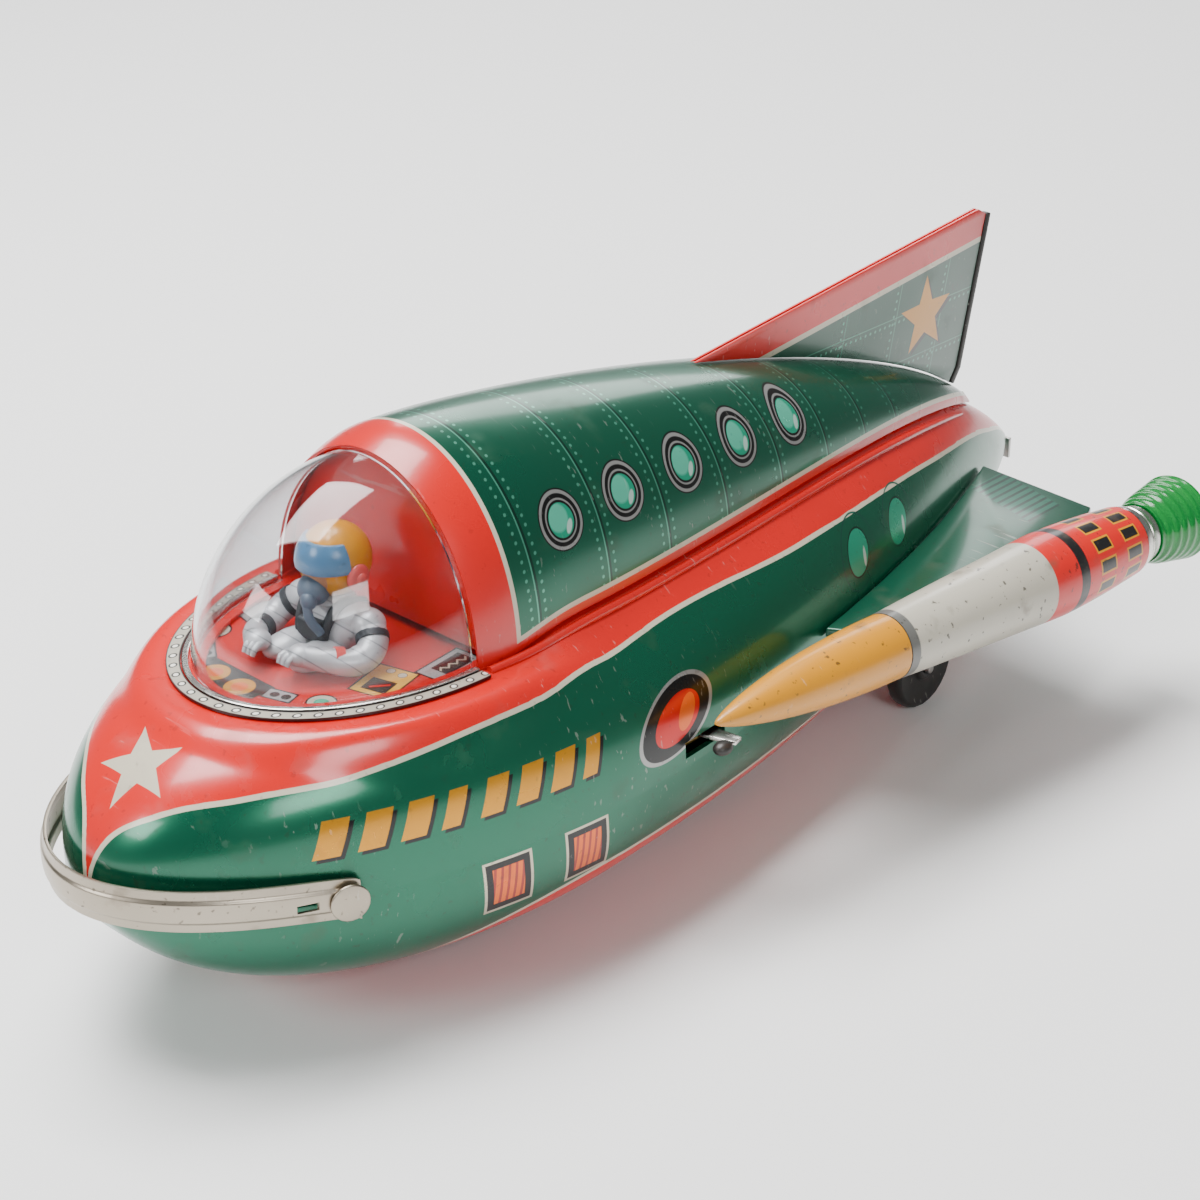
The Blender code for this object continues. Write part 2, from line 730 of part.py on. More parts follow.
DRIVE_TEETH, LAY_PINION_TEETH, LAY_TEETH, MOTOR_TEETH = 18, 10, 22, 9
DRIVE_SHAFT = (AXLE_STATION, DRIVE_WHEEL_RADIUS)
LAY_DISTANCE = MODULE * (DRIVE_TEETH + LAY_PINION_TEETH) / 2 + MESH_SLACK
LAY_SHAFT = (AXLE_STATION - 5.0, DRIVE_WHEEL_RADIUS + math.sqrt(LAY_DISTANCE ** 2 - 25.0))
MOTOR_DISTANCE = MODULE * (LAY_TEETH + MOTOR_TEETH) / 2 + MESH_SLACK
MOTOR_SHAFT = (LAY_SHAFT[0] - 3.0, LAY_SHAFT[1] + math.sqrt(MOTOR_DISTANCE ** 2 - 9.0))


def gears():
    """Drive gear on the axle, double gear on the layshaft, pinion on the motor."""
    up = mesh_angle(DRIVE_SHAFT, LAY_SHAFT)
    on = mesh_angle(LAY_SHAFT, MOTOR_SHAFT)
    spur_gear("drive_gear", DRIVE_TEETH, 1.6, 3.4, (-0.4, *DRIVE_SHAFT), up, BRASS)
    gap_turn = up + math.pi + math.pi / LAY_PINION_TEETH
    small = as_mesh(spur_gear("layshaft_pinion_teeth", LAY_PINION_TEETH, 1.3, 4.6,
                              (0.2, *LAY_SHAFT), gap_turn, GEAR_PLASTIC))
    large = as_mesh(spur_gear("layshaft_gear", LAY_TEETH, 1.3, 2.4, (3.6, *LAY_SHAFT), on, GEAR_PLASTIC))
    cut(large, as_cutter(small), "UNION")
    motor_turn = on + math.pi + math.pi / MOTOR_TEETH
    spur_gear("motor_pinion", MOTOR_TEETH, 1.2, 3.0, (3.6, *MOTOR_SHAFT), motor_turn, BRASS)
    rod("layshaft", (0, *LAY_SHAFT), 1.0, 17.6, (1, 0, 0), STEEL, 16)
    rod("motor_shaft", (-1.15, *MOTOR_SHAFT), 0.9, 13.1, (1, 0, 0), STEEL, 16)


def drive_unit():
    """The turning drive unit: frame, pivot pin, motor, axle and wheels."""
    cheek = 7.0
    low, high = 6.0, 44.5
    section = [(-cheek - 0.5, low), (-cheek + 0.5, low), (-cheek + 0.5, high - 1.0), (cheek - 0.5, high - 1.0),
               (cheek - 0.5, low), (cheek + 0.5, low), (cheek + 0.5, high), (-cheek - 0.5, high)]
    frame = sheet("turntable_frame", [section], 26.0, STEEL)
    stand_across(frame, 98.0)
    frame = as_mesh(frame)
    for name, shaft, radius in (("axle_hole", DRIVE_SHAFT, 1.55), ("layshaft_hole", LAY_SHAFT, 1.3),
                                ("motor_hole", MOTOR_SHAFT, 1.2)):
        cut(frame, as_cutter(rod(f"{name}_cutter", (0, *shaft), radius, 40.0, (1, 0, 0), None, 24)))
    pin = [(0.0, 45.0), (5.0, 45.0), (5.0, 46.2), (2.0, 46.2), (2.0, 52.0), (3.6, 52.0), (3.6, 53.0), (0.0, 53.0)]
    turned("pivot_pin", list(reversed(pin)), (0, PIVOT_STATION, 0), (0, 0, 1), STEEL, 24)
    can = [(0.0, 0.0), (9.6, 0.0), (10.0, 0.6), (10.0, 21.4), (9.6, 22.0), (3.0, 22.0), (3.0, 23.2), (0.0, 23.2)]
    turned("drive_motor", list(reversed(can)), (-8.0, *MOTOR_SHAFT), (-1, 0, 0), STEEL, 24)
    rod("drive_axle", (0, *DRIVE_SHAFT), 1.25, 33.0, (1, 0, 0), STEEL, 16)
    wheel = [(1.6, 0.0), (10.4, 0.0), (11.5, 1.2), (11.5, 4.8), (10.4, 6.0), (1.6, 6.0)]
    for side, word in ((1, "left"), (-1, "right")):
        turned(f"drive_wheel_{word}", list(reversed(wheel + wheel[:1])), (side * 9.6, *DRIVE_SHAFT),
               (side, 0, 0), RUBBER, 24)


def drive_bridge():
    """Bracket across the hull that carries the drive unit's pivot."""
    half = 53.0
    outline = [(-half, 87.0), (half, 87.0), (half, 103.0), (-half, 103.0)]
    bridge = sheet("drive_bridge", [outline, circle(2.35, 20, 0.0, PIVOT_STATION)], 1.2, STEEL)
    lay_flat(bridge, station=0.0, z=49.2)


def rear_wheels():
    """Rear axle with its two wheels, and the brackets under the hull."""
    centre = (0, REAR_AXLE_STATION, REAR_WHEEL_RADIUS)
    rod("rear_axle", centre, 1.2, 80.0, (1, 0, 0), STEEL, 16)
    profile = [(1.55, 0.0), (11.0, 0.0), (12.5, 1.4), (12.5, 4.4), (11.4, 5.6), (9.0, 4.6), (4.0, 4.6), (3.6, 5.9),
               (1.55, 5.9)]
    for side, word in ((1, "left"), (-1, "right")):
        spot = (side * 32.7, *centre[1:])
        turned(f"rear_wheel_{word}", list(reversed(profile + profile[:1])), spot, (side, 0, 0), BLACK_PLASTIC, 24)
        plate = [(250.0, 17.4), (265.0, 20.6), (262.0, 9.6), (253.0, 9.6)]
        bracket = sheet(f"rear_bracket_{word}", [plate, circle(1.5, 16, REAR_AXLE_STATION, REAR_WHEEL_RADIUS)],
                        1.0, STEEL)
        stand_along(bracket, side * 27.0)


# ---------------------------------------------------------------- switch, batteries and small pieces

def switch():
    """On-off lever in the seam, its rivet and the contact plate under it."""
    pivot = (42.0, 139.0)
    arm = [(-3.2, -2.4), (0.0, -3.2), (20.5, -1.9), (23.0, -1.4), (23.0, 1.4), (20.5, 1.9), (0.0, 3.2), (-3.2, 2.4)]
    lever = sheet("switch_lever", [arm, circle(1.5, 16)], 1.0, NICKEL)
    lever.location = place(*pivot, 47.3)
    lever.rotation_euler = (0, 0, math.radians(12))
    plate = [(35.0, 132.0), (54.4, 132.0), (54.4, 146.0), (35.0, 146.0)]
    lay_flat(sheet("switch_plate", [plate], 0.8, BRASS), station=0.0, z=45.6)
    rivet = [(0.0, 46.3), (1.2, 46.3), (1.2, 48.2), (2.6, 48.2), (2.4, 49.0), (0.0, 49.0)]
    turned("switch_rivet", list(reversed(rivet)), (*pivot, 0), (0, 0, 1), NICKEL, 16)


def batteries():
    """Battery box, cells, contacts and the belly door."""
    front, rear, half = DOOR_FRONT - 1.0, DOOR_HINGE + 2.0, 29.0
    tray = box("battery_box", (-half, front, BELLY_Z + 4.8), (half, rear, 39.0), BLACK_PLASTIC)
    shape = bmesh.new()
    shape.from_mesh(tray.data)
    floor = [face for face in shape.faces if face.normal.z < -0.5]
    bmesh.ops.delete(shape, geom=floor, context="FACES")
    shape.to_mesh(tray.data)
    shape.free()
    thicken(tray, 1.0)
    cell = [(0.0, 0.0), (12.2, 0.0), (12.9, 0.8), (12.9, 44.6), (12.2, 45.4), (3.2, 45.4), (3.0, 47.0), (0.0, 47.0)]
    for side, word in ((1, "left"), (-1, "right")):
        spot = (side * 13.4, DOOR_FRONT + 2.3, 23.4)
        turned(f"battery_{word}", list(reversed(cell)), spot, (0, 1, 0), BATTERY_JACKET, 24)
    for word, station in (("front", DOOR_FRONT + 1.0), ("rear", DOOR_HINGE)):
        plate = [(-24.0, 15.0), (24.0, 15.0), (24.0, 32.0), (-24.0, 32.0)]
        stand_across(sheet(f"battery_contact_{word}", [plate], 0.6, BRASS), station)
    length = DOOR_HINGE - DOOR_FRONT
    half = DOOR_HALF_WIDTH
    door = sheet("battery_door", [[(-half, -length), (half, -length), (half, 0.0), (-half, 0.0)]], 1.0, GREEN_TIN)
    door.location = place(0, DOOR_HINGE, BELLY_Z + 0.2)
    rod("door_screw", (0, DOOR_FRONT + 4.5, BELLY_Z - 1.2), 3.2, 1.0, (0, 0, 1), NICKEL, 20)


def tail_tab():
    """Small dull tab that holds the two hull halves at the tail."""
    box("tail_tab", (-2.4, HULL_LENGTH - 0.6, 37.5), (2.4, HULL_LENGTH + 0.4, 44.0), STEEL)


upper_hull()
lower_hull()
cockpit_deck()
flat_band("deck_ring", 0.0, 3.3, RING_REAR - 2.0, SHELF_Z + GAP + 0.3, 0.6, CREAM_TIN)
flat_band("canopy_rim", 3.6, 5.1, RING_REAR - 2.0, SHELF_Z + GAP + 0.5, 1.0, NICKEL)
bumper()
bumper_tabs()
cabin_fuselage()
cabin_bulkhead()
canopy_dome()
tail_fin()
pods()
wings()
pilot()
gears()
drive_unit()
drive_bridge()
rear_wheels()
switch()
batteries()
tail_tab()
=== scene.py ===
import math

import bmesh
import bpy
from mathutils import Matrix, Vector
from mathutils.kdtree import KDTree


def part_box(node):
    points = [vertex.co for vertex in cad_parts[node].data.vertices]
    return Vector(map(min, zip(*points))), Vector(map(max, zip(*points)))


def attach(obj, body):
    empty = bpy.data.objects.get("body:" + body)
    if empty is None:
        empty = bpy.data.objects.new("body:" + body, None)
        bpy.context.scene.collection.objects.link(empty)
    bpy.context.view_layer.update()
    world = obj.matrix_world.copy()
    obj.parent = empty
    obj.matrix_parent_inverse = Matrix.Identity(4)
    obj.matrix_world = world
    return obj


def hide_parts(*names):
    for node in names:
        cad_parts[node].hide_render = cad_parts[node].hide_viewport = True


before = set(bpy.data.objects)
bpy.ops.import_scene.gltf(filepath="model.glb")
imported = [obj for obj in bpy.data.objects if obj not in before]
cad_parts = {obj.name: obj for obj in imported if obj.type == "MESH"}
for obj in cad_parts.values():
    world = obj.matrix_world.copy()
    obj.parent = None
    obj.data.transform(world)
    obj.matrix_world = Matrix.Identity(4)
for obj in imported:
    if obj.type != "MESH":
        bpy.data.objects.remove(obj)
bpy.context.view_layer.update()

# Studio. The toy stands on a pale seamless floor under a large soft box overhead and two fill cards.
MM = 0.001
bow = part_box("upper_hull")[0][1] - 0.6 * MM


def at(x, station, z):
    """A point from its offset, its distance behind the nose tip and its height, in millimetres."""
    return Vector((x * MM, bow + station * MM, z * MM))


def nothing_selected():
    if bpy.context.object is not None and bpy.context.object.mode != "OBJECT":
        bpy.ops.object.mode_set(mode="OBJECT")
    bpy.ops.object.select_all(action="DESELECT")


def plain_material(name, colour, roughness):
    material = bpy.data.materials.new(name)
    material.use_nodes = True
    shader = material.node_tree.nodes["Principled BSDF"]
    shader.inputs["Base Color"].default_value = (*colour, 1)
    shader.inputs["Roughness"].default_value = roughness
    return material


lens = bpy.data.cameras.new("studio_camera")
lens.sensor_width = 36
lens.lens = 77.04
lens.clip_start = 0.01
camera = bpy.data.objects.new("studio_camera", lens)
camera.location = at(403.52, -268.51, 356.71)
camera.rotation_euler = (math.radians(63), 0, math.radians(43))
bpy.context.scene.collection.objects.link(camera)
bpy.context.scene.camera = camera

nothing_selected()
bpy.ops.mesh.primitive_plane_add(size=6, location=(0, 0, 0))
floor = bpy.context.object
floor.name = "floor"
floor.data.materials.append(plain_material("pale_floor", (0.88, 0.88, 0.875), 0.95))


def lamp(name, spot, aim, size, watts, tint=(1, 1, 1)):
    data = bpy.data.lights.new(name, "AREA")
    data.shape = "RECTANGLE"
    data.size, data.size_y = size
    data.energy = watts
    data.color = tint
    light = bpy.data.objects.new(name, data)
    light.location = spot
    light.rotation_euler = (Vector(aim) - Vector(spot)).to_track_quat("-Z", "Y").to_euler()
    bpy.context.scene.collection.objects.link(light)


lamp("overhead_soft_box", (-0.4, -0.1, 1.45), (0, 0, 0.05), (1.1, 0.9), 58)
lamp("left_card", (1.1, -0.5, 0.75), (0, 0, 0.05), (0.5, 0.4), 6)
lamp("front_card", (-0.25, -1.0, 0.6), (0, -0.1, 0.06), (0.4, 0.3), 5)
lamp("rear_card", (-0.9, 1.2, 0.8), (0, 0, 0.08), (0.9, 0.5), 8)
world = bpy.data.worlds.new("studio_world")
bpy.context.scene.world = world
world.use_nodes = True
world.node_tree.nodes["Background"].inputs["Color"].default_value = (0.9, 0.91, 0.92, 1)
world.node_tree.nodes["Background"].inputs["Strength"].default_value = 0.22

# Upper hull. One deep pressing of tinplate, lithographed before it was drawn: a red deck with a cream
# border that comes to a point at the nose, metallic green sides, and printed marks on each side.
SEAM, SHELF, BELLY = 44.5, 78.2, 8.5
LENGTH, WIDEST, HALF_BEAM = 346.0, 115.0, 59.0
RING_HALF, RING_LONG, RING_REAR = 39.5, 55.0, 88.0
COLUMNS = 92


def fullness(t, p, q):
    return max(0.0, 1.0 - t ** p) ** (1.0 / q)


def nose_part(station):
    return max(0.0, (WIDEST - station) / WIDEST)


def tail_part(station):
    return max(0.0, (station - WIDEST) / (LENGTH - WIDEST))


def beam(station):
    if station < WIDEST:
        return HALF_BEAM * fullness(nose_part(station), 1.7, 1.95)
    return HALF_BEAM * fullness(tail_part(station), 1.75, 1.2)


def rise(station):
    if station < WIDEST:
        return 44.0 * fullness(nose_part(station), 2.3, 2.3)
    return 44.0 * fullness(tail_part(station), 4.6, 1.05)


def boxiness(station, middle, nose):
    part = (WIDEST - station) / WIDEST
    return middle + (nose - middle) * math.sqrt(0.5 * (part + math.hypot(part, 0.06)))


def outside_ring(x, station, inset=0.0):
    """Distance outside the outline of the cockpit ring, negative inside it."""
    reach = math.hypot(x / (RING_HALF - inset), max(0.0, RING_REAR - station) / (RING_LONG - inset))
    if reach == 0.0:
        return inset - RING_HALF
    return (reach - 1.0) * math.hypot(x, max(0.0, RING_REAR - station)) / reach


def smooth_step(share):
    share = min(1.0, max(0.0, share))
    return share * share * (3.0 - 2.0 * share)


def hull_top(x, station):
    """Height of the upper hull, with the flat shelf that is pressed round the cockpit."""
    half = beam(station)
    if half <= 0.0:
        return SEAM
    power = boxiness(station, 2.0, 2.9)
    z = SEAM + rise(station) * max(0.0, 1.0 - min(1.0, abs(x) / half) ** power) ** (1.0 / power)
    shelf = smooth_step(1.0 - max(0.0, outside_ring(x, station) - 4.0) / 8.0)
    shelf *= smooth_step((122.0 - station) / 32.0)
    return z + (SHELF - z) * shelf if z > SEAM + 12.0 else z


def picked(piece):
    nothing_selected()
    bpy.context.view_layer.objects.active = piece
    piece.select_set(True)
    return piece


def cleaned(piece, gap, outward=True):
    """Welds points closer than a gap in millimetres, and turns the faces outwards."""
    picked(piece)
    bpy.ops.object.mode_set(mode="EDIT")
    bpy.ops.mesh.select_all(action="SELECT")
    bpy.ops.mesh.remove_doubles(threshold=gap * MM)
    if outward:
        bpy.ops.mesh.normals_make_consistent(inside=False)
    bpy.ops.object.mode_set(mode="OBJECT")
    return piece


def skin(name, across, along, shape):
    """A sheet with a number of faces across and along, laid out by a shape of two shares from 0 to 1."""
    nothing_selected()
    bpy.ops.mesh.primitive_grid_add(x_subdivisions=across, y_subdivisions=along, size=1)
    sheet = bpy.context.object
    sheet.name = name
    for vertex in sheet.data.vertices:
        vertex.co = shape(min(1.0, max(0.0, vertex.co.x + 0.5)), min(1.0, max(0.0, vertex.co.y + 0.5)))
    return cleaned(sheet, 0.02, outward=False)


def changed(piece, kind, **settings):
    """Adds a modifier, applies it and gives the piece back."""
    picked(piece)
    modifier = piece.modifiers.new(kind.lower(), kind)
    for key, value in settings.items():
        setattr(modifier, key, value)
    bpy.ops.object.modifier_apply(modifier=modifier.name)
    return piece


def walled(piece, thickness=0.8):
    return changed(piece, "SOLIDIFY", thickness=thickness * MM, offset=-1.0)


def rounded(piece, width, segments=2, angle=30):
    return changed(piece, "BEVEL", width=width * MM, segments=segments, limit_method="ANGLE",
                   angle_limit=math.radians(angle))


def shaded(piece, angle=40):
    picked(piece)
    bpy.ops.object.shade_smooth_by_angle(angle=math.radians(angle))
    return piece


def block(name, low, high):
    """A box between two corners, each an offset, a station and a height."""
    nothing_selected()
    near, far = at(*low), at(*high)
    bpy.ops.mesh.primitive_cube_add(size=1, location=(near + far) / 2)
    piece = bpy.context.object
    piece.name = name
    piece.scale = far - near
    bpy.ops.object.transform_apply(location=True, rotation=True, scale=True)
    return piece


def carved(piece, tool):
    changed(piece, "BOOLEAN", object=tool, operation="DIFFERENCE", solver="EXACT")
    bpy.data.objects.remove(tool)
    return piece


def slab(name, outline, thickness, middle=(0, 0, 0), facing="Z"):
    """A flat sheet cut to an outline in millimetres, facing up or, with X, to the side."""
    curve = bpy.data.curves.new(name, "CURVE")
    curve.dimensions = "2D"
    curve.fill_mode = "BOTH"
    curve.extrude = thickness * MM / 2
    spline = curve.splines.new("POLY")
    spline.points.add(len(outline) - 1)
    for point, (u, v) in zip(spline.points, outline):
        point.co = (u * MM, v * MM, 0, 1)
    spline.use_cyclic_u = True
    piece = bpy.data.objects.new(name, curve)
    bpy.context.scene.collection.objects.link(piece)
    piece.location = at(*middle)
    if facing == "X":
        on_edge = Matrix(((0, 0, 1, 0), (1, 0, 0, 0), (0, 1, 0, 0), (0, 0, 0, 1)))
        piece.matrix_world = Matrix.Translation(at(*middle)) @ on_edge
    picked(piece)
    bpy.ops.object.convert(target="MESH")
    bpy.ops.object.transform_apply(location=True, rotation=True, scale=True)
    return cleaned(bpy.context.object, 0.01)


def fitted(piece, material, body, *nodes, slot=None):
    """Gives a piece its finish and says what it rides on and stands for."""
    piece.data.materials.clear()
    piece.data.materials.append(material)
    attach(piece, body)
    if nodes:
        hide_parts(*nodes)
    return piece


def ring_outline(inset, rear, count=60):
    half, long = RING_HALF - inset, RING_LONG - inset
    points = []
    for k in range(count + 1):
        turn = math.pi * k / count
        points.append((-half * math.cos(turn), RING_REAR - long * math.sin(turn)))
    if rear > RING_REAR:
        points = [(-half, rear)] + points + [(half, rear)]
    return points


def cabin_part(station):
    return max(0.0, (station - 98.0) / 227.0)


def cabin_half(station):
    if station < 98.0:
        return 36.5 - 1.6 * ((98.0 - station) / 11.6) ** 2
    return 36.5 * fullness(cabin_part(station), 1.6, 1.5)


def cabin_crown(station):
    if station < 98.0:
        return 125.5 - 3.0 * ((98.0 - station) / 11.6) ** 2
    return 60.0 + 65.5 * fullness(cabin_part(station), 1.4, 1.5)


def hull_row(share):
    return LENGTH * 0.5 * (1.0 - math.cos(math.pi * share))


def upper_point(u, v):
    station = hull_row(v)
    half = beam(station)
    column = u * COLUMNS
    if column < 0.5 or column > COLUMNS - 0.5:
        return at(half if column > 1 else -half, station, SEAM - 1.5)
    x = half * math.sin(math.pi * ((column - 1.0) / (COLUMNS - 2.0) - 0.5))
    return at(x, station, hull_top(x, station))


upper_hull = skin("upper_hull_pressing", COLUMNS, 210, upper_point)
walled(upper_hull)
opening = ring_outline(9.0, RING_REAR + 2.0)
opening += [(cabin_half(station) - 5.0, station) for station in range(100, 296, 14)]
opening += [(5.0 - cabin_half(station), station) for station in range(282, 96, -14)]
carved(upper_hull, slab("cockpit_opening", opening, 60.0, (0, 0, 85.0)))
carved(upper_hull, block("lever_slot", (46.0, 131.5, 45.2), (66.0, 147.0, 49.4)))
shaded(upper_hull, 35)

# The border of the red deck: its offset from the centre line at a few stations, joined by a smooth line.
BORDER = [(-5, -5), (0, 0), (5, 5), (11, 12.6), (24, 25.2), (44, 37.2), (66, 45.0), (92, 48.2), (114, 45.8),
          (143, 42.3), (199, 38.6), (269, 26.0), (318, 11.4), (346, 0), (372, -9)]


def through(points, place):
    """A smooth line through points, each a place and a value."""
    k = 0
    while place > points[k + 1][0] and k < len(points) - 2:
        k += 1
    (p0, v0), (p1, v1) = points[k], points[k + 1]
    q0, w0 = points[max(k - 1, 0)]
    q1, w1 = points[min(k + 2, len(points) - 1)]
    t, back = (place - p0) / (p1 - p0), (p1 - place) / (p1 - p0)
    slope0, slope1 = (v1 - w0) / (p1 - q0) * (p1 - p0), (w1 - v0) / (q1 - p0) * (p1 - p0)
    return (v0 * (1 + 2 * t) * back ** 2 + v1 * t * t * (3 - 2 * t)
            + slope0 * t * back ** 2 - slope1 * t * t * back)


def noted(piece, name, rule):
    """Writes one value or three at every vertex, where its material can read them."""
    values = [number for vertex in piece.data.vertices for number in rule(vertex.co)]
    triple = len(values) > len(piece.data.vertices)
    note = piece.data.attributes.new(name, "FLOAT_VECTOR" if triple else "FLOAT", "POINT")
    note.data.foreach_set("vector" if triple else "value", values)


STEPS = 700
line = KDTree(2 * STEPS)
for k in range(STEPS):
    station = LENGTH * (k / (STEPS - 1)) ** 1.6
    x = min(through(BORDER, station), beam(station))
    for side in (-1, 1):
        line.insert(at(side * x, station, hull_top(x, station)), 2 * k + (side > 0))
line.balance()


def from_border(place):
    """How far inside the red deck a place is, negative outside it."""
    station = min(LENGTH, max(0.0, (place.y - bow) / MM))
    inside = abs(place.x) / MM < through(BORDER, station)
    return [line.find(place)[2] / MM * (1 if inside else -1)]


noted(upper_hull, "from_border", from_border)


class Wiring:
    """The nodes of one material or node group: short words for placing and joining them."""

    def __init__(self, name, group=None):
        self.tree = group
        if group is None:
            self.material = bpy.data.materials.new(name)
            self.material.use_nodes = True
            self.tree = self.material.node_tree
            self.shader = self.tree.nodes["Principled BSDF"]

    def node(self, kind, **settings):
        made = self.tree.nodes.new(kind)
        for key, value in settings.items():
            setattr(made, key, value)
        return made

    def put(self, value, socket):
        if isinstance(value, bpy.types.NodeSocket):
            self.tree.links.new(value, socket)
        else:
            socket.default_value = value

    def sums(self, operation, first, second=0.0, third=0.0):
        made = self.node("ShaderNodeMath", operation=operation)
        for value, socket in zip((first, second, third), made.inputs):
            self.put(value, socket)
        return made.outputs[0]

    def times(self, first, second):
        return self.sums("MULTIPLY", first, second)

    def plus(self, first, second):
        return self.sums("ADD", first, second)

    def less(self, first, second):
        return self.sums("SUBTRACT", first, second)

    def shared(self, first, second):
        return self.sums("DIVIDE", first, second)

    def far(self, u, v):
        return self.sums("SQRT", self.plus(self.times(u, u), self.times(v, v)))

    def beat(self, value, spacing):
        """Distance from the nearest of a row of evenly spaced marks."""
        return self.times(self.less(self.sums("FRACT", self.shared(value, spacing)), 0.5), spacing)

    def noted(self, name):
        return self.node("ShaderNodeAttribute", attribute_name=name).outputs

    def noted_triple(self, name):
        split = self.node("ShaderNodeSeparateXYZ")
        self.put(self.noted(name)["Vector"], split.inputs[0])
        return split.outputs

    def clouded(self, scale, first, second):
        """A base colour that drifts between two, and the drift itself."""
        noise = self.node("ShaderNodeTexNoise")
        noise.inputs["Scale"].default_value = scale
        self.put(self.node("ShaderNodeTexCoord").outputs["Object"], noise.inputs["Vector"])
        self.put(self.over(first, second, noise.outputs[0]), self.shader.inputs["Base Color"])
        return noise.outputs[0]

    def places(self):
        """Object coordinates in millimetres: offset, distance from the centre line, station and height."""
        split = self.node("ShaderNodeSeparateXYZ")
        self.put(self.node("ShaderNodeTexCoord").outputs["Object"], split.inputs[0])
        x = self.times(split.outputs[0], 1000.0)
        station = self.sums("MULTIPLY_ADD", split.outputs[1], 1000.0, -bow * 1000.0)
        z = self.times(split.outputs[2], 1000.0)
        return x, self.sums("ABSOLUTE", x), station, z

    def below(self, value, edge, blur=0.12):
        """1 where a value is under an edge, 0 above it."""
        slope = self.shared(self.less(edge, value), blur)
        made = self.node("ShaderNodeMath", operation="ADD", use_clamp=True)
        self.put(slope, made.inputs[0])
        made.inputs[1].default_value = 0.5
        return made.outputs[0]

    def within(self, value, low, high, blur=0.12):
        middle, half = (low + high) / 2, (high - low) / 2
        return self.below(self.sums("ABSOLUTE", self.less(value, middle)), half, blur)

    def both(self, *masks):
        result = masks[0]
        for mask in masks[1:]:
            result = self.times(result, mask)
        return result

    def over(self, under, paint, mask, kind="MIX"):
        made = self.node("ShaderNodeMix", data_type="RGBA", blend_type=kind)
        self.put(mask, made.inputs[0])
        for value, socket in ((under, made.inputs[6]), (paint, made.inputs[7])):
            self.put(value if isinstance(value, bpy.types.NodeSocket) else (*value, 1.0), socket)
        return made.outputs[2]

    def local(self, u, v, centre, turn, lean):
        """A place measured from a centre, in a frame that is turned and leaned."""
        du, dv = self.less(u, centre[0]), self.less(v, centre[1])
        if turn:
            c, s = math.cos(turn), math.sin(turn)
            du, dv = (self.sums("MULTIPLY_ADD", dv, s, self.times(du, c)),
                      self.sums("MULTIPLY_ADD", du, -s, self.times(dv, c)))
        if lean:
            du = self.sums("MULTIPLY_ADD", dv, -lean, du)
        return du, dv

    def reach(self, u, v, centre, radii, lean=0.0, turn=0.0):
        """How far a place is out from a centre, as a share of an oval's radii."""
        du, dv = self.local(u, v, centre, turn, lean)
        return self.far(self.shared(du, radii[0]), self.shared(dv, radii[1]))

    def plate(self, u, v, centre, half, turn=0.0, lean=0.0):
        """How far a place is outside a rectangle's edge, in millimetres, negative inside."""
        du, dv = self.local(u, v, centre, turn, lean)
        return self.sums("MAXIMUM", self.less(self.sums("ABSOLUTE", du), half[0]),
                         self.less(self.sums("ABSOLUTE", dv), half[1]))

    def star(self, u, v, centre, size, turn=0.0):
        """How far a place is outside a five pointed star, in millimetres, negative inside."""
        du, dv = self.less(u, centre[0]), self.less(v, centre[1])
        far = self.far(du, dv)
        angle = self.plus(self.sums("ARCTAN2", dv, du), turn + 4 * math.pi)
        fold = self.sums("PINGPONG", angle, math.pi / 5)
        along = self.times(far, self.sums("COSINE", fold))
        aside = self.times(far, self.sums("SINE", fold))
        notch = size * 0.42
        edge = Vector((notch * math.cos(math.pi / 5) - size, notch * math.sin(math.pi / 5)))
        normal = Vector((edge.y, -edge.x)).normalized()
        return self.sums("MULTIPLY_ADD", aside, normal.y,
                         self.times(self.less(along, size), normal.x))

    def aged(self, paint, roughness, metal=0.0, wear=0.5, coat=0.4, bump=0.03, grime=0.4):
        """Joins a paint to the shader through the marks of age."""
        age = self.node("ShaderNodeGroup", node_tree=bpy.data.node_groups["marks_of_age"])
        self.put(paint if isinstance(paint, bpy.types.NodeSocket) else (*paint, 1.0), age.inputs["Paint"])
        age.inputs["Wear"].default_value = wear
        age.inputs["Grime"].default_value = grime
        age.inputs["Gloss"].default_value = roughness
        self.put(age.outputs["Paint"], self.shader.inputs["Base Color"])
        self.put(age.outputs["Roughness"], self.shader.inputs["Roughness"])
        self.put(metal, self.shader.inputs["Metallic"])
        self.shader.inputs["Coat Weight"].default_value = coat
        self.shader.inputs["Coat Roughness"].default_value = 0.12
        relief = self.node("ShaderNodeBump")
        relief.inputs["Strength"].default_value = bump
        relief.inputs["Distance"].default_value = 0.0006
        self.put(age.outputs["Height"], relief.inputs["Height"])
        self.put(relief.outputs[0], self.shader.inputs["Normal"])
        return self.material


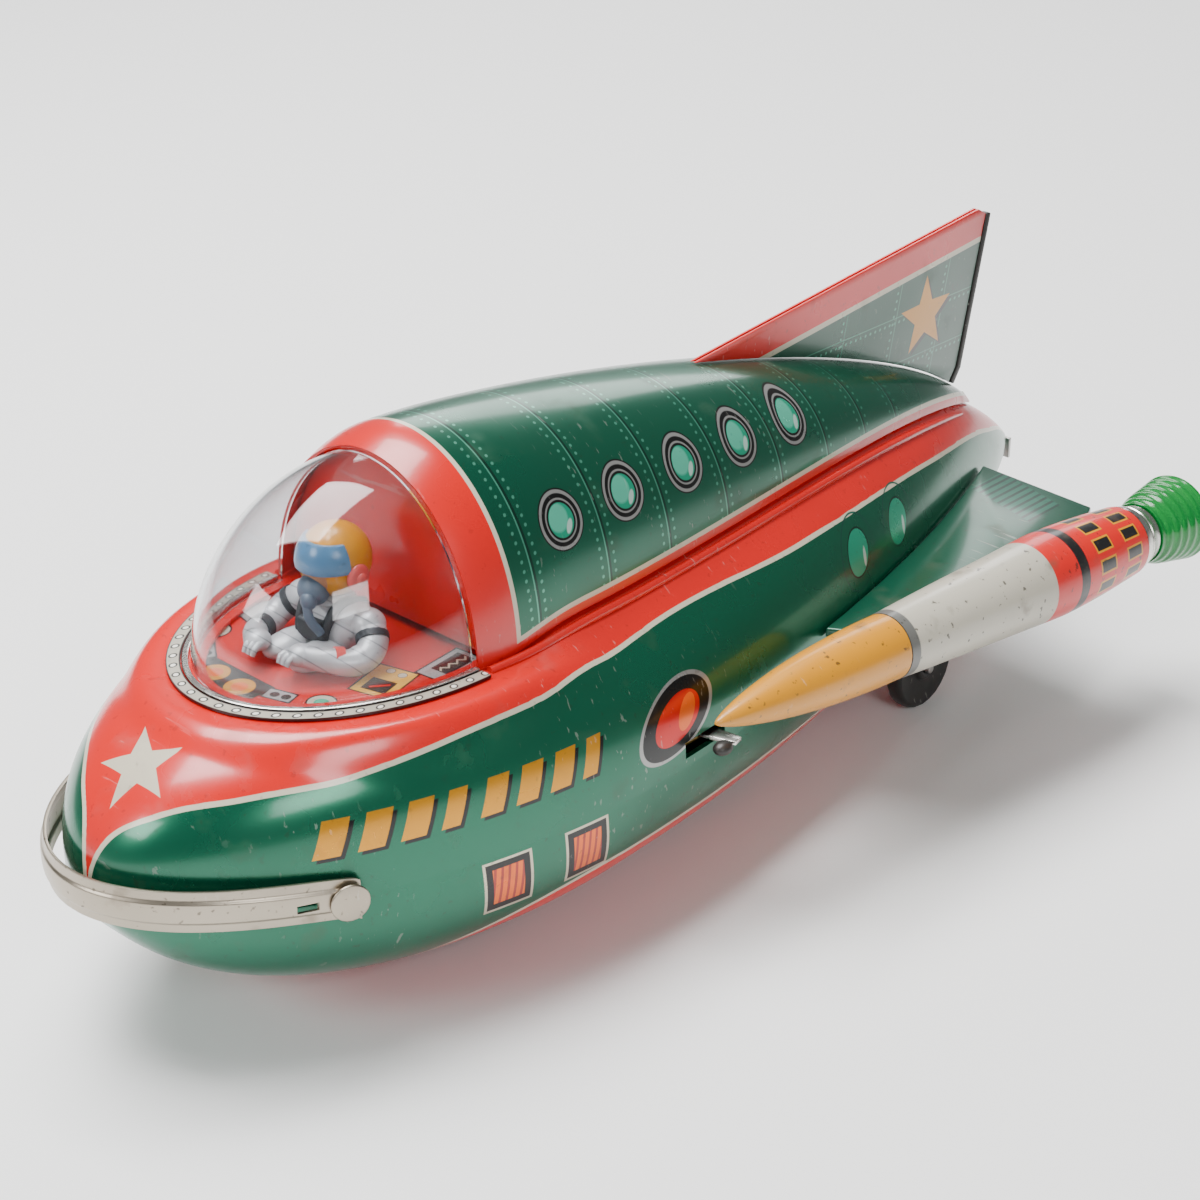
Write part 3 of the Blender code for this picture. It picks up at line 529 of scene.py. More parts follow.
def age_group():
    """Shared marks of age: cloudy colour, fine specks of dirt, hairline scratches and grime."""
    group = bpy.data.node_groups.new("marks_of_age", "ShaderNodeTree")
    for side, kind, name in (("INPUT", "Color", "Paint"), ("INPUT", "Float", "Wear"),
                             ("INPUT", "Float", "Grime"), ("INPUT", "Float", "Gloss"),
                             ("OUTPUT", "Color", "Paint"),
                             ("OUTPUT", "Float", "Roughness"), ("OUTPUT", "Float", "Height")):
        group.interface.new_socket(name=name, in_out=side, socket_type=f"NodeSocket{kind}")
    age = Wiring("marks_of_age", group)
    entry, leave = age.node("NodeGroupInput").outputs, age.node("NodeGroupOutput").inputs
    place = age.node("ShaderNodeTexCoord").outputs["Object"]

    def cloud(scale, detail, low, high, stretch=(1, 1, 1), turn=0.0):
        mapping = age.node("ShaderNodeMapping")
        mapping.inputs["Scale"].default_value = stretch
        mapping.inputs["Rotation"].default_value = (turn, turn * 0.7, turn * 0.4)
        noise, limits = age.node("ShaderNodeTexNoise"), age.node("ShaderNodeMapRange")
        for value, socket in ((place, mapping.inputs[0]), (mapping.outputs[0], noise.inputs["Vector"]),
                              (scale, noise.inputs["Scale"]), (detail, noise.inputs["Detail"]),
                              (noise.outputs[0], limits.inputs["Value"]), (low, limits.inputs["From Min"]),
                              (high, limits.inputs["From Max"])):
            age.put(value, socket)
        return limits.outputs[0]

    clouds, blots = cloud(28, 4, 0.35, 0.7), cloud(95, 6, 0.6, 0.74)
    specks, grain = cloud(520, 2, 0.66, 0.72), cloud(1500, 2, 0.3, 0.7)
    hairs = age.times(cloud(60, 5, 0.66, 0.7, (1, 14, 6), 0.5), cloud(30, 2, 0.45, 0.6))
    colour = age.over(entry["Paint"], (0.55, 0.53, 0.5), age.times(clouds, 0.22), "MULTIPLY")
    for marks, share, strength, tint in ((blots, entry["Grime"], 0.55, (0.09, 0.06, 0.035)),
                                         (specks, entry["Grime"], 0.8, (0.03, 0.022, 0.015)),
                                         (hairs, entry["Wear"], 0.45, (0.62, 0.6, 0.55))):
        colour = age.over(colour, tint, age.times(marks, age.times(share, strength)))
    age.put(colour, leave["Paint"])
    rough = age.plus(entry["Gloss"], age.times(clouds, 0.1))
    rough = age.plus(age.plus(rough, age.times(blots, 0.2)), age.times(hairs, 0.15))
    age.put(rough, leave["Roughness"])
    height = age.plus(age.times(grain, 0.12), age.times(clouds, 0.6))
    age.put(age.plus(height, age.times(hairs, -0.5)), leave["Height"])


age_group()
GREEN, DEEP_GREEN, AQUA = (0.001, 0.12, 0.06), (0.001, 0.03, 0.016), (0.02, 0.42, 0.24)
RED, ORANGE, YELLOW = (0.62, 0.006, 0.004), (0.8, 0.13, 0.008), (0.62, 0.26, 0.001)
CREAM, SILVER, BLACK = (0.55, 0.5, 0.38), (0.34, 0.34, 0.33), (0.006, 0.006, 0.006)

ink = Wiring("printed_upper_hull")
x, side, station, z = ink.places()
border = ink.noted("from_border")["Fac"]
is_red = ink.below(0.0, border)
paint = ink.over(GREEN, RED, is_red)
line_mask = ink.within(border, -1.25, 0.05)
paint = ink.over(paint, CREAM, line_mask)
outer = ink.below(15.0, side)
# slanted dashes with a dark shadow stand where the real toy is lettered
for shift, colour in (((0.7, -0.9), BLACK), ((0.0, 0.0), YELLOW)):
    slant = ink.sums("MULTIPLY_ADD", ink.less(z, 58.2 + shift[1]), -0.42,
                     ink.less(station, shift[0]))
    beat = ink.sums("FRACT", ink.shared(ink.less(slant, 34.0), 9.3))
    bars = ink.both(ink.below(beat, 0.62, 0.02), ink.within(slant, 34.0, 66.4), outer)
    more = ink.both(ink.below(beat, 0.62, 0.02), ink.within(slant, 71.4, 103.4), outer)
    bars = ink.sums("MAXIMUM", bars, more)
    paint = ink.over(paint, colour, ink.both(bars, ink.within(z, 54.0 + shift[1], 62.4 + shift[1])))
for radius, colour in ((1.0, SILVER), (0.91, BLACK)):
    spot = ink.reach(station, z, (130.0, 56.0), (13.6, 8.6), 0.6)
    paint = ink.over(paint, colour, ink.both(ink.below(spot, radius, 0.012), outer))
for middle, radii, colour, blur in (((130.4, 56.0), (8.2, 5.3), RED, 0.02),
                                    ((134.0, 56.4), (3.0, 3.7), ORANGE, 0.05)):
    spot = ink.reach(station, z, middle, radii, 0.6)
    paint = ink.over(paint, colour, ink.both(ink.below(spot, 1.0, blur), outer))
for middle in ((218.0, 63.6), (241.5, 62.9)):
    spot = ink.reach(station, z, middle, (5.2, 5.0), 0.35)
    paint = ink.over(paint, (0.01, 0.09, 0.06), ink.both(ink.within(spot, 1.6, 1.68, 0.03), outer))
    paint = ink.over(paint, DEEP_GREEN, ink.both(ink.within(spot, 1.0, 1.08, 0.03), outer))
    paint = ink.over(paint, AQUA, ink.both(ink.below(spot, 1.0, 0.03), outer))
    glint = ink.reach(station, z, (middle[0] + 2.4, middle[1] - 1.6), (0.7, 2.2), 0.35)
    paint = ink.over(paint, (0.55, 0.8, 0.7), ink.both(ink.below(glint, 1.0, 0.2), outer))
mark = ink.star(x, ink.times(station, 1.25), (0.8, 20.0), 11.0, math.pi / 2)
paint = ink.over(paint, CREAM, ink.both(ink.below(mark, 0.0), ink.below(55.0, z), is_red))
metal = ink.times(ink.less(1.0, ink.sums("MAXIMUM", is_red, line_mask)), 0.6)
fitted(upper_hull, ink.aged(paint, 0.24, metal, 0.5, 0.5, 0.04, 0.28), "hull", "upper_hull", slot="green_tin")

# Lower hull. The matching green pressing underneath, tucked inside the upper one at the seam, printed with
# a red belly below a cream line and two orange vents a side. It is cut for the drive unit and the door.


def depth(station):
    if station < WIDEST:
        return 38.0 * fullness(nose_part(station), 3.3, 1.7)
    return 38.0 * fullness(tail_part(station), 2.6, 1.5)


def lower_point(u, v):
    mark = 0.6 + (LENGTH - 1.9 - 0.6) * 0.5 * (1.0 - math.cos(math.pi * v))
    slope = (beam(mark + 0.2) - beam(max(0.0, mark - 0.2))) / 0.4
    lean = math.hypot(1.0, slope)
    half, station = max(0.0, beam(mark) - 1.3 / lean), mark + 1.3 * slope / lean
    column = u * 92.0
    if column < 0.5 or column > 91.5:
        return at((half - 0.1) * (1 if column < 1 else -1), station, SEAM + min(1.8, 0.4 * rise(mark)))
    turn = math.pi * (column - 1.0) / 90.0
    power = boxiness(mark, 2.7, 3.2)
    x = half * math.copysign(abs(math.cos(turn)) ** (2.0 / power), math.cos(turn))
    return at(x, station, max(BELLY, SEAM - depth(station) * abs(math.sin(turn)) ** (2.0 / power)))


lower_hull = skin("lower_hull_pressing", 92, 180, lower_point)
walled(lower_hull)
well = [(27.0 * math.cos(math.tau * k / 64), 95.0 + 27.0 * math.sin(math.tau * k / 64)) for k in range(64)]
carved(lower_hull, slab("turntable_opening", well, 24.0, (0, 0, 12.0)))
carved(lower_hull, block("door_opening", (-27.5, 146.0, -2.0), (27.5, 200.0, 24.0)))
carved(lower_hull, block("lever_notch", (44.0, 131.5, 44.6), (66.0, 147.0, 52.0)))
shaded(lower_hull, 35)

ink = Wiring("printed_lower_hull")
x, side, station, z = ink.places()
sheer = ink.node("ShaderNodeMapRange", interpolation_type="SMOOTHSTEP")
for socket, value in zip(sheer.inputs, (station, 20.0, 112.0, 8.0, 25.0)):
    ink.put(value, socket)
above = ink.less(z, sheer.outputs[0])
paint = ink.over(GREEN, RED, ink.below(above, 0.0))
paint = ink.over(paint, CREAM, ink.within(above, 0.0, 1.3))
outer = ink.below(20.0, side)
for middle, height in ((77.7, 33.4), (100.0, 33.6)):
    frame_edge = ink.plate(station, z, (middle, height), (5.8, 6.8), lean=-0.12)
    paint = ink.over(paint, CREAM, ink.both(ink.below(frame_edge, 0.7), outer))
    paint = ink.over(paint, BLACK, ink.both(ink.below(frame_edge, 0.0), outer))
    beat = ink.sums("FRACT", ink.shared(station, 1.9))
    bars = ink.over(ORANGE, (0.35, 0.03, 0.02), ink.within(beat, 0.62, 1.0, 0.1))
    paint = ink.over(paint, bars, ink.both(ink.below(frame_edge, -1.7), outer))
metal = ink.times(ink.below(1.3, above), 0.6)
fitted(lower_hull, ink.aged(paint, 0.26, metal, 0.6, 0.45, 0.05, 0.4), "hull", "lower_hull", slot="green_tin")

# Cabin. A long tinplate hood soldered onto the deck, red at its front lip, printed with riveted plate joints
# and five portholes a side. A rolled red bead covers the joint along its foot.


def cabin_foot(station):
    return hull_top(cabin_half(station) - 1.4, station) + 0.6


def cabin_point(u, v):
    station = 86.4 + 235.6 * v
    if v > 0.999:
        return at(0, 322.0, 66.0)
    foot = cabin_foot(station)
    turn = math.pi * u
    return at(-cabin_half(station) * math.cos(turn), station,
              foot + (cabin_crown(station) - foot) * math.sin(turn))


cabin = skin("cabin_pressing", 96, 220, cabin_point)
QUARTER_STEPS = 40
rows = {}


def above_foot(place):
    """How far up the cabin's side a place is, measured round the sheet."""
    station = min(321.9, (place.y - bow) / MM)
    key = round(station, 2)
    half, foot = cabin_half(station), cabin_foot(station)
    tall, step = cabin_crown(station) - foot, math.pi / 2 / QUARTER_STEPS
    if key not in rows:
        rows[key] = [0.0]
        for k in range(QUARTER_STEPS):
            turn = step * (k + 0.5)
            rows[key].append(rows[key][-1] + math.hypot(half * math.sin(turn), tall * math.cos(turn)) * step)
    turn = math.atan2(max(0.0, place.z / MM - foot) / tall, abs(place.x) / MM / half)
    k = min(QUARTER_STEPS - 0.001, turn / step)
    low, high = rows[key][int(k)], rows[key][int(k) + 1]
    return [low + (high - low) * (k - int(k))]


noted(cabin, "girth", above_foot)
walled(cabin)
shaded(cabin, 40)

ink = Wiring("printed_cabin")
x, side, station, z = ink.places()
girth = ink.noted("girth")["Fac"]
paint = (0.001, 0.1, 0.052)
PALE_GREEN = (0.1, 0.4, 0.27)
for ring, mark in enumerate((105, 130, 153, 177, 201.5, 224, 244, 262)):
    strength = 0.85 - 0.06 * ring
    shadow, light = ink.within(station, mark + 0.2, mark + 0.9), ink.within(station, mark - 0.3, mark + 0.1)
    paint = ink.over(paint, (0.001, 0.03, 0.018), ink.times(shadow, 0.9))
    paint = ink.over(paint, PALE_GREEN, ink.times(light, strength))
    near = ink.less(ink.sums("ABSOLUTE", ink.less(station, mark)), 2.3)
    dot = ink.far(near, ink.beat(girth, 2.3))
    paint = ink.over(paint, PALE_GREEN, ink.times(ink.below(dot, 0.42, 0.2), strength))
for middle in ((118.2, 103.7), (141.0, 103.0), (164.9, 101.9), (188.7, 100.3), (212.4, 98.0)):
    spot = ink.reach(station, z, middle, (7.2, 6.6))
    for radius, colour in ((1.0, BLACK), (0.95, SILVER), (0.84, BLACK), (0.7, SILVER), (0.64, BLACK),
                           (0.56, AQUA)):
        paint = ink.over(paint, colour, ink.below(spot, radius, 0.025))
    glass = ink.below(spot, 0.54, 0.02)
    shade = ink.reach(station, z, (middle[0] - 0.9, middle[1] + 0.8), (3.3, 3.0))
    paint = ink.over(paint, (0.12, 0.68, 0.46), ink.both(ink.below(shade, 1.0, 0.2), glass))
    glint = ink.reach(station, z, (middle[0] + 1.9, middle[1] - 1.8), (0.8, 1.7), turn=-0.7)
    paint = ink.over(paint, (0.6, 0.85, 0.75), ink.both(ink.below(glint, 1.0, 0.25), glass))
lip = ink.sums("MINIMUM", ink.less(station, 97.4), ink.less(girth, 2.2))
paint = ink.over(paint, CREAM, ink.below(lip, 1.3))
paint = ink.over(paint, RED, ink.below(lip, 0.0))
metal = ink.times(ink.below(1.3, lip), 0.6)
fitted(cabin, ink.aged(paint, 0.25, metal, 0.45, 0.5, 0.03, 0.22), "hull", "cabin_fuselage", slot="green_tin")

red_tin = Wiring("red_litho").aged(RED, 0.27, 0.0, 0.5, 0.5, 0.04, 0.35)


def tube(name, points, radii):
    """A rounded bar through points in millimetres, thicker or thinner along its length."""
    curve = bpy.data.curves.new(name, "CURVE")
    curve.dimensions = "3D"
    curve.bevel_depth = MM
    curve.bevel_resolution = 6
    curve.resolution_u = 8
    curve.use_fill_caps = True
    spline = curve.splines.new("BEZIER")
    spline.bezier_points.add(len(points) - 1)
    for knot, point, radius in zip(spline.bezier_points, points, radii):
        knot.co = at(*point)
        knot.radius = radius
        knot.handle_left_type = knot.handle_right_type = "AUTO"
    piece = bpy.data.objects.new(name, curve)
    bpy.context.scene.collection.objects.link(piece)
    picked(piece)
    bpy.ops.object.convert(target="MESH")
    return shaded(bpy.context.object, 50)


for side in (-1, 1):
    stations = [88, 100, 118, 140, 165, 190, 215, 240, 265, 290, 306]
    path = [(side * (cabin_half(s) + 1.6), s, hull_top(cabin_half(s) + 1.6, s) + 0.1) for s in stations]
    bead = tube(f"foot_bead_{'left' if side > 0 else 'right'}", path, [1.2] * 9 + [0.9, 0.5])
    fitted(bead, red_tin, "hull", slot="red_tin")

# Deck ring and dome rim. A cream printed band of rivets round the cockpit, and inside it the bright flange
# that holds the clear moulded dome down.


def band_point(inset, wide, height):
    def point(u, v):
        edge = math.asin(2.0 / RING_LONG)
        turn = edge + (math.pi - 2 * edge) * u
        out = inset + wide * v
        return at(-(RING_HALF - out) * math.cos(turn), RING_REAR - (RING_LONG - out) * math.sin(turn), height)
    return point


ring = skin("rivet_band", 160, 4, band_point(0.0, 3.3, 79.1))


def round_the_ring(place):
    """Distance round the ring from its left end, and distance outside its outline."""
    forward = (RING_REAR - (place.y - bow) / MM) / RING_LONG
    turn = math.atan2(forward, place.x / MM / RING_HALF)
    arc = sum(math.hypot(37.8 * math.sin(turn * (k + 0.5) / 24), 53.3 * math.cos(turn * (k + 0.5) / 24))
              for k in range(24))
    return [arc * turn / 24, outside_ring(place.x / MM, (place.y - bow) / MM), 0.0]


noted(ring, "along_ring", round_the_ring)
walled(ring, 0.6)
ink = Wiring("rivet_band_print")
round_ring, outward, _ = ink.noted_triple("along_ring")
out = ink.plus(outward, 1.65)
dot = ink.far(out, ink.beat(round_ring, 4.6))
paint = ink.over((0.4, 0.37, 0.3), BLACK, ink.below(dot, 1.1))
paint = ink.over(paint, (0.8, 0.78, 0.7), ink.below(dot, 0.66))
paint = ink.over(paint, BLACK, ink.below(1.4, ink.sums("ABSOLUTE", out)))
fitted(ring, ink.aged(paint, 0.35, 0.0, 0.4, 0.3, 0.03, 0.4), "hull", "deck_ring", slot="cream_tin")

rim = skin("dome_rim", 160, 6, band_point(3.6, 1.5, 79.5))
walled(rim, 1.0)
rounded(rim, 0.25)
nickel = Wiring("bright_nickel").aged((0.72, 0.7, 0.66), 0.2, 1.0, 0.5, 0.0, 0.06, 0.5)
fitted(rim, nickel, "hull", "canopy_rim", slot="nickel")


def dome_point(u, v):
    turn, lift = math.pi * u, math.pi / 2 * v
    return at(-33.5 * math.cos(turn) * math.cos(lift), 86.0 - 47.0 * math.sin(turn) * math.cos(lift),
              78.5 + 43.0 * math.sin(lift))


dome = skin("clear_dome", 96, 48, dome_point)
walled(dome, 1.0)
shaded(dome, 60)
clear = Wiring("clear_moulding")
scuffs = clear.clouded(40, (0.84, 0.85, 0.86), (0.74, 0.75, 0.77))
clear.put(clear.sums("MULTIPLY_ADD", scuffs, 0.05, 0.01), clear.shader.inputs["Roughness"])
clear.shader.inputs["Transmission Weight"].default_value = 1.0
clear.shader.inputs["IOR"].default_value = 1.45
see_through = clear.node("ShaderNodeBsdfTransparent")
see_through.inputs[0].default_value = (0.55, 0.55, 0.56, 1)
chooser = clear.node("ShaderNodeMixShader")
clear.put(clear.node("ShaderNodeLightPath").outputs["Is Shadow Ray"], chooser.inputs[0])
clear.tree.links.new(clear.shader.outputs[0], chooser.inputs[1])
clear.tree.links.new(see_through.outputs[0], chooser.inputs[2])
clear.tree.links.new(chooser.outputs[0], clear.tree.nodes["Material Output"].inputs[0])
fitted(dome, clear.material, "hull", "canopy_dome", slot="clear_plastic")

# Cockpit floor and bulkhead. Flat red sheet printed with instruments: twin dials, small plates, a ring dial,
# a yellow gauge panel and a grey panel with a zigzag trace.
outline = ring_outline(6.0, 97.0)
deck = rounded(slab("cockpit_floor", outline, 0.8, (0, 0, 76.7)), 0.1, 1)
ink = Wiring("instrument_print")
x, side, station, z = ink.places()
paint = RED
AMBER = (0.8, 0.45, 0.05)
for middle, half, turn, colour in (((-5.6, 46.6), (10.6, 4.4), 0.0, BLACK),
                                   ((8.8, 49.8), (3.4, 1.8), 0.3, SILVER),
                                   ((-20.0, 52.0), (3.4, 1.8), -0.6, SILVER),
                                   ((21.0, 70.0), (5.0, 6.4), 0.25, AMBER),
                                   ((26.4, 85.5), (4.0, 7.0), 0.1, SILVER),
                                   ((-26.0, 74.0), (3.6, 5.6), -0.2, SILVER)):
    edge = ink.plate(x, station, middle, half, turn)
    paint = ink.over(paint, BLACK, ink.below(edge, 0.5))
    paint = ink.over(paint, colour, ink.below(edge, 0.0))
for middle, radii, colours in (((-10.2, 46.8), 3.6, (YELLOW, ORANGE)), ((-0.9, 46.4), 3.6, (YELLOW, ORANGE)),
                               ((18.0, 54.0), 3.2, (CREAM, AQUA)), ((7.6, 49.4), 1.0, (BLACK, BLACK)),
                               ((10.4, 50.3), 1.0, (BLACK, BLACK)), ((-21.2, 52.8), 1.0, (BLACK, BLACK)),
                               ((-18.8, 51.2), 1.0, (BLACK, BLACK)), ((18.5, 74.5), 1.0, (CREAM, CREAM)),
                               ((22.0, 74.8), 1.0, (CREAM, CREAM)), ((-26.5, 60.0), 3.4, (CREAM, RED))):
    spot = ink.reach(x, station, middle, (radii, radii))
    paint = ink.over(paint, BLACK, ink.below(spot, 1.15, 0.04))
    paint = ink.over(paint, colours[0], ink.below(spot, 1.0, 0.04))
    paint = ink.over(paint, colours[1], ink.below(spot, 0.55, 0.04))
gauge = ink.plate(x, station, (21.5, 68.0), (3.2, 2.8), 0.25)
paint = ink.over(paint, BLACK, ink.below(gauge, 0.0))
needle = ink.plate(x, station, (21.8, 68.0), (2.4, 0.35), 0.9)
paint = ink.over(paint, RED, ink.below(needle, 0.0))
screen = ink.plate(x, station, (26.2, 86.5), (2.6, 4.8), 0.1)
zigzag = ink.less(ink.sums("PINGPONG", station, 1.3), ink.less(x, 25.6))
paint = ink.over(paint, (0.02, 0.03, 0.03), ink.below(screen, 0.0))
paint = ink.over(paint, CREAM, ink.both(ink.below(screen, -0.4), ink.within(zigzag, -0.35, 0.35)))
fitted(deck, ink.aged(paint, 0.3, 0.0, 0.3, 0.4, 0.03, 0.3), "hull", "cockpit_deck", slot="red_tin")


def recut(node, material, body, slot, bevel=0.2, angle=40):
    """A clean copy of one component with its edges eased, standing in its place."""
    source = bpy.data.objects[node]
    mesh = source.data.copy()
    mesh.transform(source.matrix_world)
    piece = bpy.data.objects.new(node + "_finished", mesh)
    bpy.context.scene.collection.objects.link(piece)
    shape = bmesh.new()
    shape.from_mesh(mesh)
    bmesh.ops.remove_doubles(shape, verts=shape.verts, dist=0.00001)
    bmesh.ops.dissolve_limit(shape, angle_limit=math.radians(1), verts=shape.verts, edges=shape.edges)
    shape.to_mesh(mesh)
    shape.free()
    if bevel:
        rounded(piece, bevel, 2, 35)
    shaded(piece, angle)
    return fitted(piece, material, body, node, slot=slot)


recut("cabin_bulkhead", red_tin, "hull", "red_tin", 0.1)

# Pilot. A moulded figure in a silver pressure suit, sitting behind the dials. The head is a yellow helmet
# with a raised blue visor, red ear cups and a breathing mask that hides the face.


def ball(name, middle, radii):
    nothing_selected()
    bpy.ops.mesh.primitive_uv_sphere_add(segments=40, ring_count=24, radius=1)
    piece = bpy.context.object
    piece.name = name
    piece.data.transform(Matrix.Translation(at(*middle)) @ Matrix.Diagonal((*[r * MM for r in radii], 1)))
    return shaded(piece, 60)


def joined(name, *pieces):
    nothing_selected()
    for piece in pieces:
        piece.select_set(True)
    bpy.context.view_layer.objects.active = pieces[0]
    bpy.ops.object.join()
    pieces[0].name = name
    return pieces[0]


ink = Wiring("silver_suit_paint")
x, side, station, z = ink.places()
stitches = ink.within(ink.sums("FRACT", ink.shared(ink.plus(station, z), 5.2)), 0.0, 0.1, 0.05)
paint = ink.over((0.62, 0.63, 0.64), (0.16, 0.17, 0.18), ink.times(stitches, 0.6))
suit = ink.aged(paint, 0.35, 0.35, 0.3, 0.3, 0.08, 0.4)
yellow_paint = Wiring("yellow_helmet_paint").aged((0.66, 0.27, 0.003), 0.28, 0.0, 0.3, 0.4, 0.04, 0.4)
blue_paint = Wiring("blue_visor_paint").aged((0.07, 0.2, 0.36), 0.25, 0.0, 0.2, 0.5, 0.04, 0.3)
mask_paint = Wiring("mask_paint").aged((0.09, 0.13, 0.18), 0.4, 0.0, 0.3, 0.2, 0.06, 0.4)
strap_paint = Wiring("dark_strap_paint").aged((0.03, 0.035, 0.04), 0.5, 0.0, 0.3, 0.1, 0.06, 0.4)
face_paint = Wiring("tan_face_paint").aged((0.42, 0.2, 0.1), 0.5, 0.0, 0.1, 0.1, 0.03, 0.3)
red_paint = Wiring("red_cup_paint").aged((0.7, 0.08, 0.07), 0.3, 0.0, 0.2, 0.4, 0.03, 0.3)
torso = joined("pilot_body", ball("chest", (0, 74.5, 83.5), (10.2, 6.6, 7.6)),
               ball("shoulders", (0, 75.0, 87.0), (11.8, 5.4, 3.6)),
               ball("left_lap", (4.6, 65.0, 79.8), (4.4, 8.0, 3.0)),
               ball("right_lap", (-4.6, 65.0, 79.8), (4.4, 8.0, 3.0)),
               ball("collar", (0, 74.2, 90.0), (5.6, 5.2, 1.6)))
fitted(torso, suit, "hull", "pilot_torso", slot="silver_suit")
braces = [tube("brace", [(side * 5.4, 79.0, 88.6), (side * 5.2, 72.0, 90.2), (side * 4.4, 68.0, 85.5),
                         (side * 3.6, 67.2, 80.5)], [1.2] * 4) for side in (1, -1)]
chest_pack = rounded(block("chest_pack", (-3.6, 65.9, 81.4), (3.6, 69.5, 86.6)), 0.7, 3)
fitted(joined("pilot_straps", *braces, chest_pack), strap_paint, "hull")
for side, word in ((1, "left"), (-1, "right")):
    reach = 2.0 if side < 0 else 0.0
    arm = [(side * 10.4, 75.0, 86.4), (side * 14.6, 73.0, 83.4), (side * 15.2, 68.0, 81.0),
           (side * 11.2, 62.0 - reach, 82.0), (side * 7.6, 58.6 - reach, 83.0)]
    sleeve = joined(f"pilot_{word}_sleeve", tube("sleeve", arm, [3.7, 3.5, 3.3, 2.9, 2.5]),
                    ball("elbow", (side * 15.2, 68.4, 81.2), (3.5, 3.6, 3.3)),
                    ball("shoulder", (side * 11.0, 75.0, 86.2), (4.2, 4.0, 3.8)))
    fitted(sleeve, suit, "hull", f"pilot_arm_{word}", slot="silver_suit")
    fingers = []
    for k in range(3):
        finger = [(side * (7.2 - 1.5 * k), 58.4 - reach, 83.4 - 0.2 * k),
                  (side * (6.4 - 1.5 * k), 55.6 - reach, 83.0), (side * (6.2 - 1.4 * k), 54.4 - reach, 81.4)]
        fingers.append(tube(f"finger_{k}", finger, [0.9, 0.85, 0.6]))
    palm = ball("palm", (side * 6.4, 58.6 - reach, 83.0), (3.3, 3.2, 2.5))
    fitted(joined(f"pilot_{word}_glove", palm, *fingers), suit, "hull")
    cuff = [(side * 13.0, 65.0 - reach / 2, 81.3), (side * 11.9, 63.2 - reach, 81.8)]
    fitted(tube(f"pilot_{word}_cuff", cuff, [3.3, 3.2]), red_paint if side > 0 else strap_paint, "hull")
    band = [(side * 13.2, 74.0, 84.6), (side * 14.3, 73.2, 83.6)]
    fitted(tube(f"pilot_{word}_arm_band", band, [3.9, 3.9]), strap_paint, "hull")
helmet = ball("pilot_shell", (0, 75.4, 99.2), (8.2, 8.9, 8.8))
carved(helmet, ball("face_opening", (0, 65.6, 96.2), (6.2, 5.0, 5.6)))
fitted(shaded(helmet, 40), yellow_paint, "hull", "pilot_helmet", slot="helmet_yellow")
fitted(ball("pilot_face", (0, 73.2, 97.0), (6.0, 5.8, 6.2)), face_paint, "hull")
visor = ball("pilot_visor", (0, 75.2, 99.4), (8.6, 9.5, 9.1))
carved(visor, block("visor_back", (-12, 73.0, 88), (12, 90, 112)))
carved(visor, block("visor_foot", (-12, 50, 88), (12, 90, 98.6)))
carved(visor, block("visor_top", (-12, 50, 105.2), (12, 90, 112)))
rounded(visor, 0.4, 2, 50)
fitted(shaded(visor, 40), blue_paint, "hull")
mask = joined("pilot_mask", ball("mask_shell", (0, 68.6, 93.6), (4.0, 3.6, 3.8)),
              ball("filter", (1.6, 65.6, 92.2), (2.1, 1.8, 2.1)),
              tube("hose", [(1.6, 65.0, 91.4), (3.0, 64.6, 88.4), (4.2, 66.6, 84.6)], [1.1, 1.1, 1.1]))
fitted(mask, mask_paint, "hull")
for side, word in ((1, "left"), (-1, "right")):
    cup = joined(f"pilot_{word}_ear_cup", ball("cup", (side * 8.2, 75.0, 97.0), (1.4, 3.2, 3.2)),
                 ball("boss", (side * 9.3, 75.0, 97.0), (0.9, 1.5, 1.5)))
    fitted(cup, red_paint, "hull")

# Tail fin. Two mirrored sheets folded together over a black wire edge, red along the front behind a cream
# line, with printed rivets on the green and a yellow star.
root = [(s, cabin_crown(s) + 0.5) for s in range(199, 314, 6)]
outline = root + [(316, 76), (326, 120.3), (322.5, 122.3), (318, 121.9)]
ink = Wiring("printed_fin")
x, side, station, z = ink.places()
paint = (0.001, 0.065, 0.034)
slant = ink.sums("MULTIPLY_ADD", z, -0.22, station)
for value, other, marks in ((slant, z, (238.0, 262.0, 284.0)), (z, slant, (84.0, 98.0))):
    for mark in marks:
        paint = ink.over(paint, PALE_GREEN, ink.times(ink.within(value, mark + 1.3, mark + 1.6), 0.5))
        dot = ink.far(ink.less(value, mark), ink.beat(other, 2.2))
        paint = ink.over(paint, PALE_GREEN, ink.times(ink.below(dot, 0.4, 0.2), 0.7))
for shift, colour in ((1.0, BLACK), (0.0, YELLOW)):
    mark = ink.star(station, z, (299.0 + shift, 96.5 - shift), 12.0, -math.pi / 2)
    paint = ink.over(paint, colour, ink.below(mark, 0.0))
front = ink.less(ink.sums("MULTIPLY_ADD", station, -0.0895, z), 83.3)
paint = ink.over(paint, CREAM, ink.below(0.0, front))
paint = ink.over(paint, RED, ink.below(1.6, front))
printed_fin = ink.aged(paint, 0.27, 0.2, 0.5, 0.45, 0.04, 0.35)
for side, word in ((1, "left"), (-1, "right")):
    half = rounded(slab(f"fin_{word}", outline, 0.9, (side * 0.65, 0, 0), "X"), 0.25, 2)
    fitted(shaded(half, 30), printed_fin, "hull", f"tail_fin_{word}", slot="green_tin")
dark_tin = Wiring("dark_folded_tin").aged((0.03, 0.028, 0.025), 0.4, 0.4, 0.9, 0.2, 0.08, 0.6)
recut("fin_edge", dark_tin, "hull", "black_tin", 0.4)

